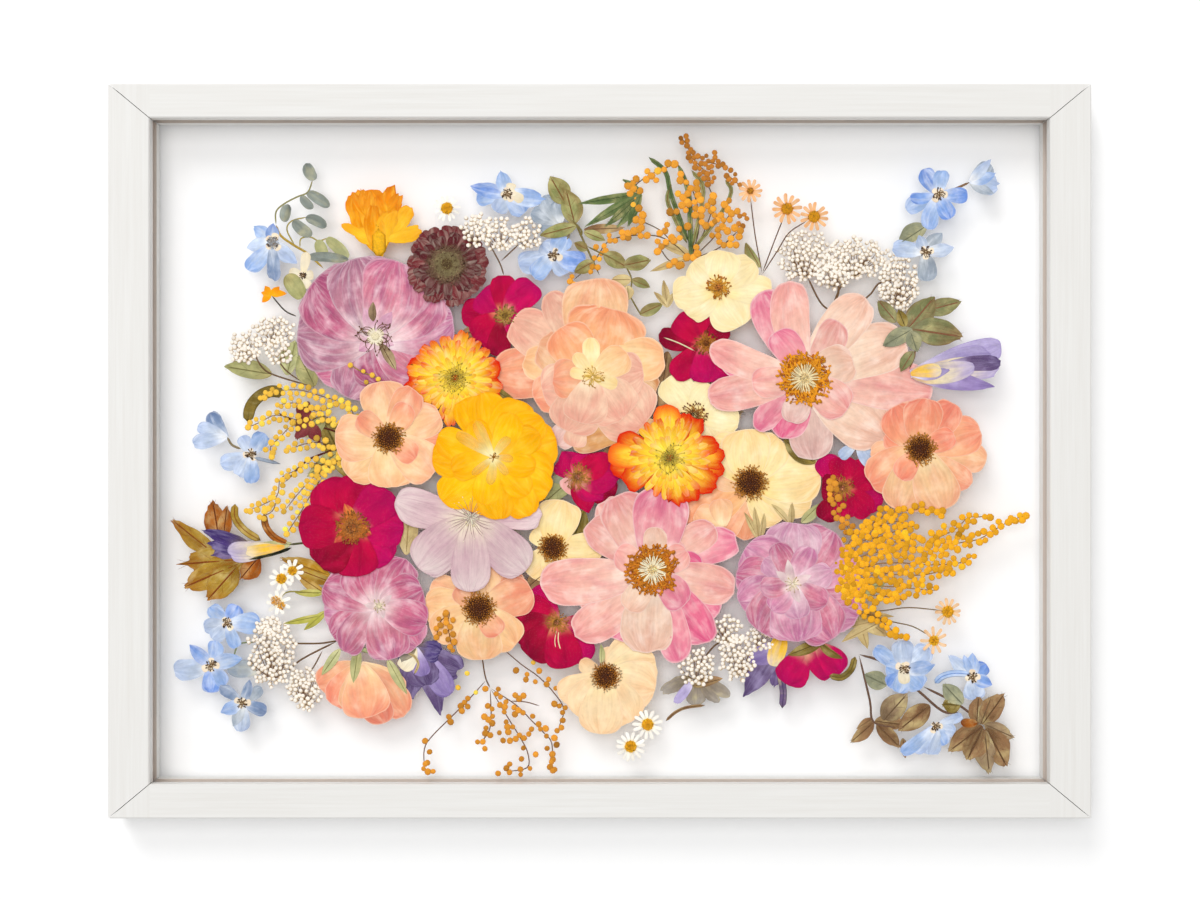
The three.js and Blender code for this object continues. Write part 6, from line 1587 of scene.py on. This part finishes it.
grow("cream_bloom_lower", 2, [
    petals(3, -113, [[-10, -105.5, 8], [5, -98, 8], [17, -96, 18], [28.5, -105.5, 20],
                     [-21, -122.5, 14], [-12, -132.5, 20], [28, -119, 24], [16, -136, 22],
                     [0.5, -142, 22]], "pale_apricot"),
    dark_disc(3, -113, 7, "#c9b28a"),
    leaf(1, -107, 0.6, -96.5, 3, "pale_green"),
])

# %% [markdown]
# ## Lower edge and lower right
# White daisies, hanging mimosa, buds, an iris with magenta petals, blue florets on a
# spray of brown leaves, and the last small daisies.
# %% Lower edge
grow("daisy_pair", 3, [
    daisy(24, -137, 13, 2.5, 8, 2.4, 12),
    daisy(15.5, -148, 14, 2.5, 7.8, 2.3, 3),
])
grow("mimosa_lower", 0, [
    stem(0.7, [[-59.5, -100], [-57.5, -113], [-55, -119]], "#6b4a2c"),
    stem(0.6, [[-46, -101.5], [-50, -99], [-60, -101.5]], "#6b4a2c"),
    *[stem(0.55, line, "#6b4028") for line in (
        [[-57, -115], [-65.5, -124.5], [-75, -134], [-84, -143], [-88, -149.5], [-88, -160]],
        [[-55, -119], [-54.5, -134], [-56, -141.5], [-60.5, -147]],
        [[-55, -119], [-46, -134], [-39.5, -144.5], [-36, -152], [-36.5, -159], [-47, -161]],
        [[-55, -119], [-42, -127.5], [-34, -135.5], [-28, -141.5], [-24, -147], [-24, -160]],
        [[-45, -125.5], [-37, -126], [-30, -128]],
        [[-50, -98], [-39.5, -107], [-30.5, -113.5], [-22.5, -122], [-18, -130], [-21, -140]])],
    bunches([[-67, -126.5, 4], [-69.5, -129.5, 1], [-75, -134, 2], [-88.4, -146, 1],
             [-86, -150.3, 1],
             [-86.5, -155.5, 1], [-87.5, -159.5, 3], [-84.5, -160.5, 1], [-56.5, -119, 1],
             [-55.3, -128, 2], [-55.5, -134, 4], [-56.5, -141.5, 3], [-60.5, -145.5, 2],
             [-58.5, -149.5, 1], [-51, -122, 3], [-48.5, -128.5, 4], [-45.5, -138, 4],
             [-49.5, -141, 1],
             [-49, -146, 1], [-45, -144.5, 1], [-40.5, -143.5, 3], [-36.5, -142, 1],
             [-39, -148.5, 1],
             [-33, -152.5, 1], [-40, -154, 1], [-35.5, -158.5, 1], [-39.3, -160.5, 2],
             [-46, -159.5, 3],
             [-50.5, -161, 1]], "dull", 1.75),
    bunches([[-40, -123.5, 3], [-41, -131, 4], [-32.8, -133.4, 1], [-34, -138.7, 1], [-29, -139, 3],
             [-27.5, -143.5, 1], [-23.5, -144.5, 1], [-27, -148.5, 1], [-21.5, -148.3, 1],
             [-24, -154, 2], [-24, -158.5, 3], [-24, -161, 1]], "dull", 1.75),
    bunches([[-41.2, -110.6, 1], [-37.3, -113.8, 2], [-32.3, -116.7, 1], [-29.5, -110, 1],
             [-25.5, -115.5, 2], [-20.8, -120.5, 2], [-21.8, -126.8, 2], [-17.3, -129.8, 2],
             [-19, -136, 1], [-21, -139.5, 2]], "dull", 1.8),
    bunches([[-32.8, -106.8, 1], [-65.7, -111.5, 1], [-62.8, -120.6, 1], [-71.8, -118.3, 1]],
            "gold", 1.6),
])
grow("rice_flower_lower_right", 1, [
    stem(0.9, [[52, -104], [60, -96], [72, -94]], TWIG),
    pods([[46, -114, 30.5, -121, 7], [48, -115, 48, -128, 11]], "grey_taupe"),
    pods([[46, -116, 37.5, -127, 5]], "lavender", "petal"),
    pods([[51, -116, 60, -126, 6], [54, -115, 65.5, -123, 6]], "grey_taupe"),
    leaf(47, -118, 62, -114, 5, "brown"),
    strap(1.6, [[53, -127.5], [44, -128.5], [38, -131], [33, -135.5]], "brown"),
    cluster(48.5, -108, 9, 9.5, 7),
    cluster(64, -90.5, 8, 7.5, 6),
    cluster(69, -104, 9, 11, 8),
    cluster(80, -94, 7, 6, 5),
])
grow("iris_lower_right", 2, [
    pointed(90, -98, [[87, -119, 14], [71.5, -124, 13], [74, -105.5, 12]],
            ["purple", "purple", "lilac"]),
    strap(3.6, [[90, -110], [92, -120], [91.5, -129]], "purple"),
    pods([[91.5, -92, 86.5, -108, 9]], "freesia_claw", "petal"),
    petals(103, -100.5, [[93.5, -117, 17], [117, -112.5, 13]], "magenta"),
    petals(109, -97, [[121, -111.5, 14]], "magenta"),
    leaf(112, -95.5, 94, -102.5, 6, "olive_brown"),
    leaf(110, -96, 122, -104, 4, "olive_brown"),
    strap(3.4, [[115, -112.5], [121, -113.5], [126, -109.5], [128, -103]], "olive_brown"),
])
# %% Lower right
grow("delphinium_lower_right", 1, [
    stem(1.3, [[130, -102], [143, -106.5], [159.5, -120], [172, -130.5], [180, -131]], VINE),
    stem(1.2, [[162, -118], [179.5, -127], [192, -136.5]], VINE),
    stem(1.1, [[130, -102], [135.5, -125], [137.5, -136], [150, -139]], VINE),
    leaf(137, -134, 128.5, -139.5, 4, "brown"),
    leaf(137.5, -136, 125.5, -146.5, 6.5, "brown"),
    leaf(138, -135.5, 154, -137.5, 8, "brown"),
    leaf(142, -135.5, 154.5, -121.5, 12, "taupe"),
    leaf(139, -137, 151, -149, 7.5, "brown"),
    leaf(144, -117.5, 132.5, -112, 9.5, "sepal_grey"),
    leaf(152, -144, 153.5, -154.5, 4, "brown"),
    petals(168.5, -137.5, [[182.5, -132.5, 5], [178.5, -141, 7], [173.5, -147.5, 7],
                           [165, -152.5, 12],
                           [158, -151.5, 8], [151, -152, 7]], ["pale_blue", "pale_blue", "blue"]),
    small_heart(168.5, -138, 2.2),
    leaf(165.5, -127.5, 149.5, -140.5, 11, "brown"),
    leaf(181, -127.5, 171.5, -127, 9, "olive_brown"),
    leaf(182, -127, 172, -116.5, 9, "sepal_grey"),
    petals(187, -113.5, [[188, -125, 11], [194, -107, 8]], ["pale_blue", "deep_blue"]),
    pointed(187, -113.5, [[197, -117.5, 8], [187, -101, 8], [174.5, -102, 8], [182.5, -101.5, 5]],
            ["deep_blue", "blue", "pale_blue", "blue"]),
    strap(3.4, [[186, -112], [178, -111.5], [172, -113], [168, -116.5]], "blue", "blue_petals"),
    small_heart(187, -113.5, 2.6),
    petals(153, -110, [[165, -98, 11], [137.5, -98.5, 8], [143.5, -108, 9], [144.5, -118, 8],
                       [162, -119, 11], [150, -121.5, 9], [151.5, -94.5, 11]],
           ["pale_blue", "blue", "blue", "deep_blue", "blue", "blue", "pale_blue"]),
    pointed(153, -110, [[168.5, -107, 9]], "blue"),
    petals(152.5, -106, [[153, -117, 6]], "ivory"),
    small_heart(153, -109, 2.6),
    leaf(189, -137, 190, -122.5, 9, "brown"),
    leaf(191, -137, 196.5, -123, 10, "taupe"),
    leaf(192, -137, 203.5, -121, 11, "brown"),
    leaf(193, -137, 208.5, -144, 8, "taupe"),
    leaf(194, -139, 204.5, -159, 14, "brown"),
    leaf(193, -140, 195.5, -162.5, 11, "taupe"),
    leaf(192, -138, 174.5, -151, 11, "brown"),
    leaf(192, -139, 184, -155.5, 14, "brown"),
    pods([[181, -136, 189.5, -136.5, 4.6]], "rust"),
])
grow("daisy_spray_right", 2, [
    leaf(129, -81.5, 144.5, -93, 8, "straw"),
    leaf(129, -82, 134.5, -99.5, 6, "straw"),
    leaf(126, -81, 148, -83, 3.5, "straw"),
    leaf(142, -85, 121, -96, 5, "straw"),
    leaf(143, -84, 124, -88.5, 4, "straw"),
    stem(0.6, [[172, -80], [155, -78.5], [142.5, -80], [131, -81]], "#7a6038"),
    stem(0.6, [[166, -93], [157, -88], [146.5, -85.5], [131, -81]], "#7a6038"),
    daisy(174.5, -80.5, 12, 2.5, 7, 2.3, 8, "straw_ray"),
    daisy(167.5, -95, 9, 2, 7.3, 2.3, 300, "straw_ray"),
])

# %% [markdown]
# ## Wall, light and camera
# The frame hangs on a pale wall. The wall lies a hair behind the hanger, is seen only
# from the front and casts no shadow, so that the back of the frame can be looked at too.
# Light comes from everywhere, as in a white studio, with one large soft lamp above and to
# the left, which gives the soft shadows below and to the right of the flowers, and a wide
# one in front, which fills the space behind the panes.
# %% Wall
WALL_SIDE, WALL_TOP, WALL_FOOT, WALL_BEHIND = 3, 2.2, -2.5, 0.0004


def wall_finish():
    """Matt and nearly white from the front, and not there at all from behind."""
    tree, output = new_material("wall")
    spot = add(tree, "TexCoord").outputs["Object"]
    grain = noise(tree, spot, 60.0, 3.0, 0.5)
    relief = add(tree, "Bump", {"Strength": 0.02, "Distance": 0.0005, "Height": grain})
    skin = add(tree, "BsdfDiffuse", {"Color": (0.985, 0.985, 0.985, 1),
                                     "Normal": relief.outputs[0]})
    behind = add(tree, "NewGeometry").outputs["Backfacing"]
    clear = add(tree, "BsdfTransparent")
    both = add(tree, "MixShader", {0: behind, 1: skin.outputs[0], 2: clear.outputs[0]})
    tree.links.new(both.outputs[0], output.inputs[0])


wall_finish()
corners = [(x, WALL_BEHIND, z) for x, z in (
    (-WALL_SIDE, WALL_FOOT), (WALL_SIDE, WALL_FOOT), (WALL_SIDE, WALL_TOP), (-WALL_SIDE, WALL_TOP))]
wall_mesh = bpy.data.meshes.new("wall")
wall_mesh.from_pydata(corners, [], [(0, 1, 2, 3)])
wall_mesh.materials.append(MATERIALS["wall"])
wall = bpy.data.objects.new("wall", wall_mesh)
bpy.context.scene.collection.objects.link(wall)
wall.visible_shadow = False
print("wall faces", wall_mesh.polygons[0].normal[:])

# %% Light
WORLD_STRENGTH, WINDOW_WATTS, FILL_WATTS = 0.55, 85.0, 27.5
AIM = Vector((0, 0, -0.17))
world = bpy.data.worlds.new("studio")
world.use_nodes = True
sky = world.node_tree.nodes["Background"].inputs
sky["Color"].default_value = (1, 1, 1, 1)
sky["Strength"].default_value = WORLD_STRENGTH
bpy.context.scene.world = world


def lamp(name, place, size, power):
    """Square lamp; it looks down its own -Z, turned towards the middle of the frame."""
    light = bpy.data.lights.new(name, "AREA")
    light.size, light.energy = size, power
    shade = bpy.data.objects.new(name, light)
    bpy.context.scene.collection.objects.link(shade)
    shade.location = place
    shade.rotation_euler = (AIM - Vector(place)).to_track_quat("-Z", "Y").to_euler()
    shade.visible_glossy = False


lamp("window", (-1.5, -3.4, 3.17), 2.2, WINDOW_WATTS)
lamp("fill", (-0.2, -2.6, 0.1), 1.6, FILL_WATTS)
print("world strength", WORLD_STRENGTH, "and lamps of", WINDOW_WATTS, "and", FILL_WATTS, "W")

# %% Camera
camera = bpy.data.cameras.new("camera")
camera.sensor_width = 36.0
camera.lens = 60.6
viewer = bpy.data.objects.new("camera", camera)
viewer.location = (0.00015, -1.0263, -0.1710)
viewer.rotation_euler = (np.pi / 2, 0, 0)
bpy.context.scene.collection.objects.link(viewer)
bpy.context.scene.camera = viewer
bpy.context.scene.view_settings.view_transform = "Standard"
bpy.context.scene.cycles.transparent_max_bounces = 32
print("pieces:", len(made), "faces in all:", sum(made))
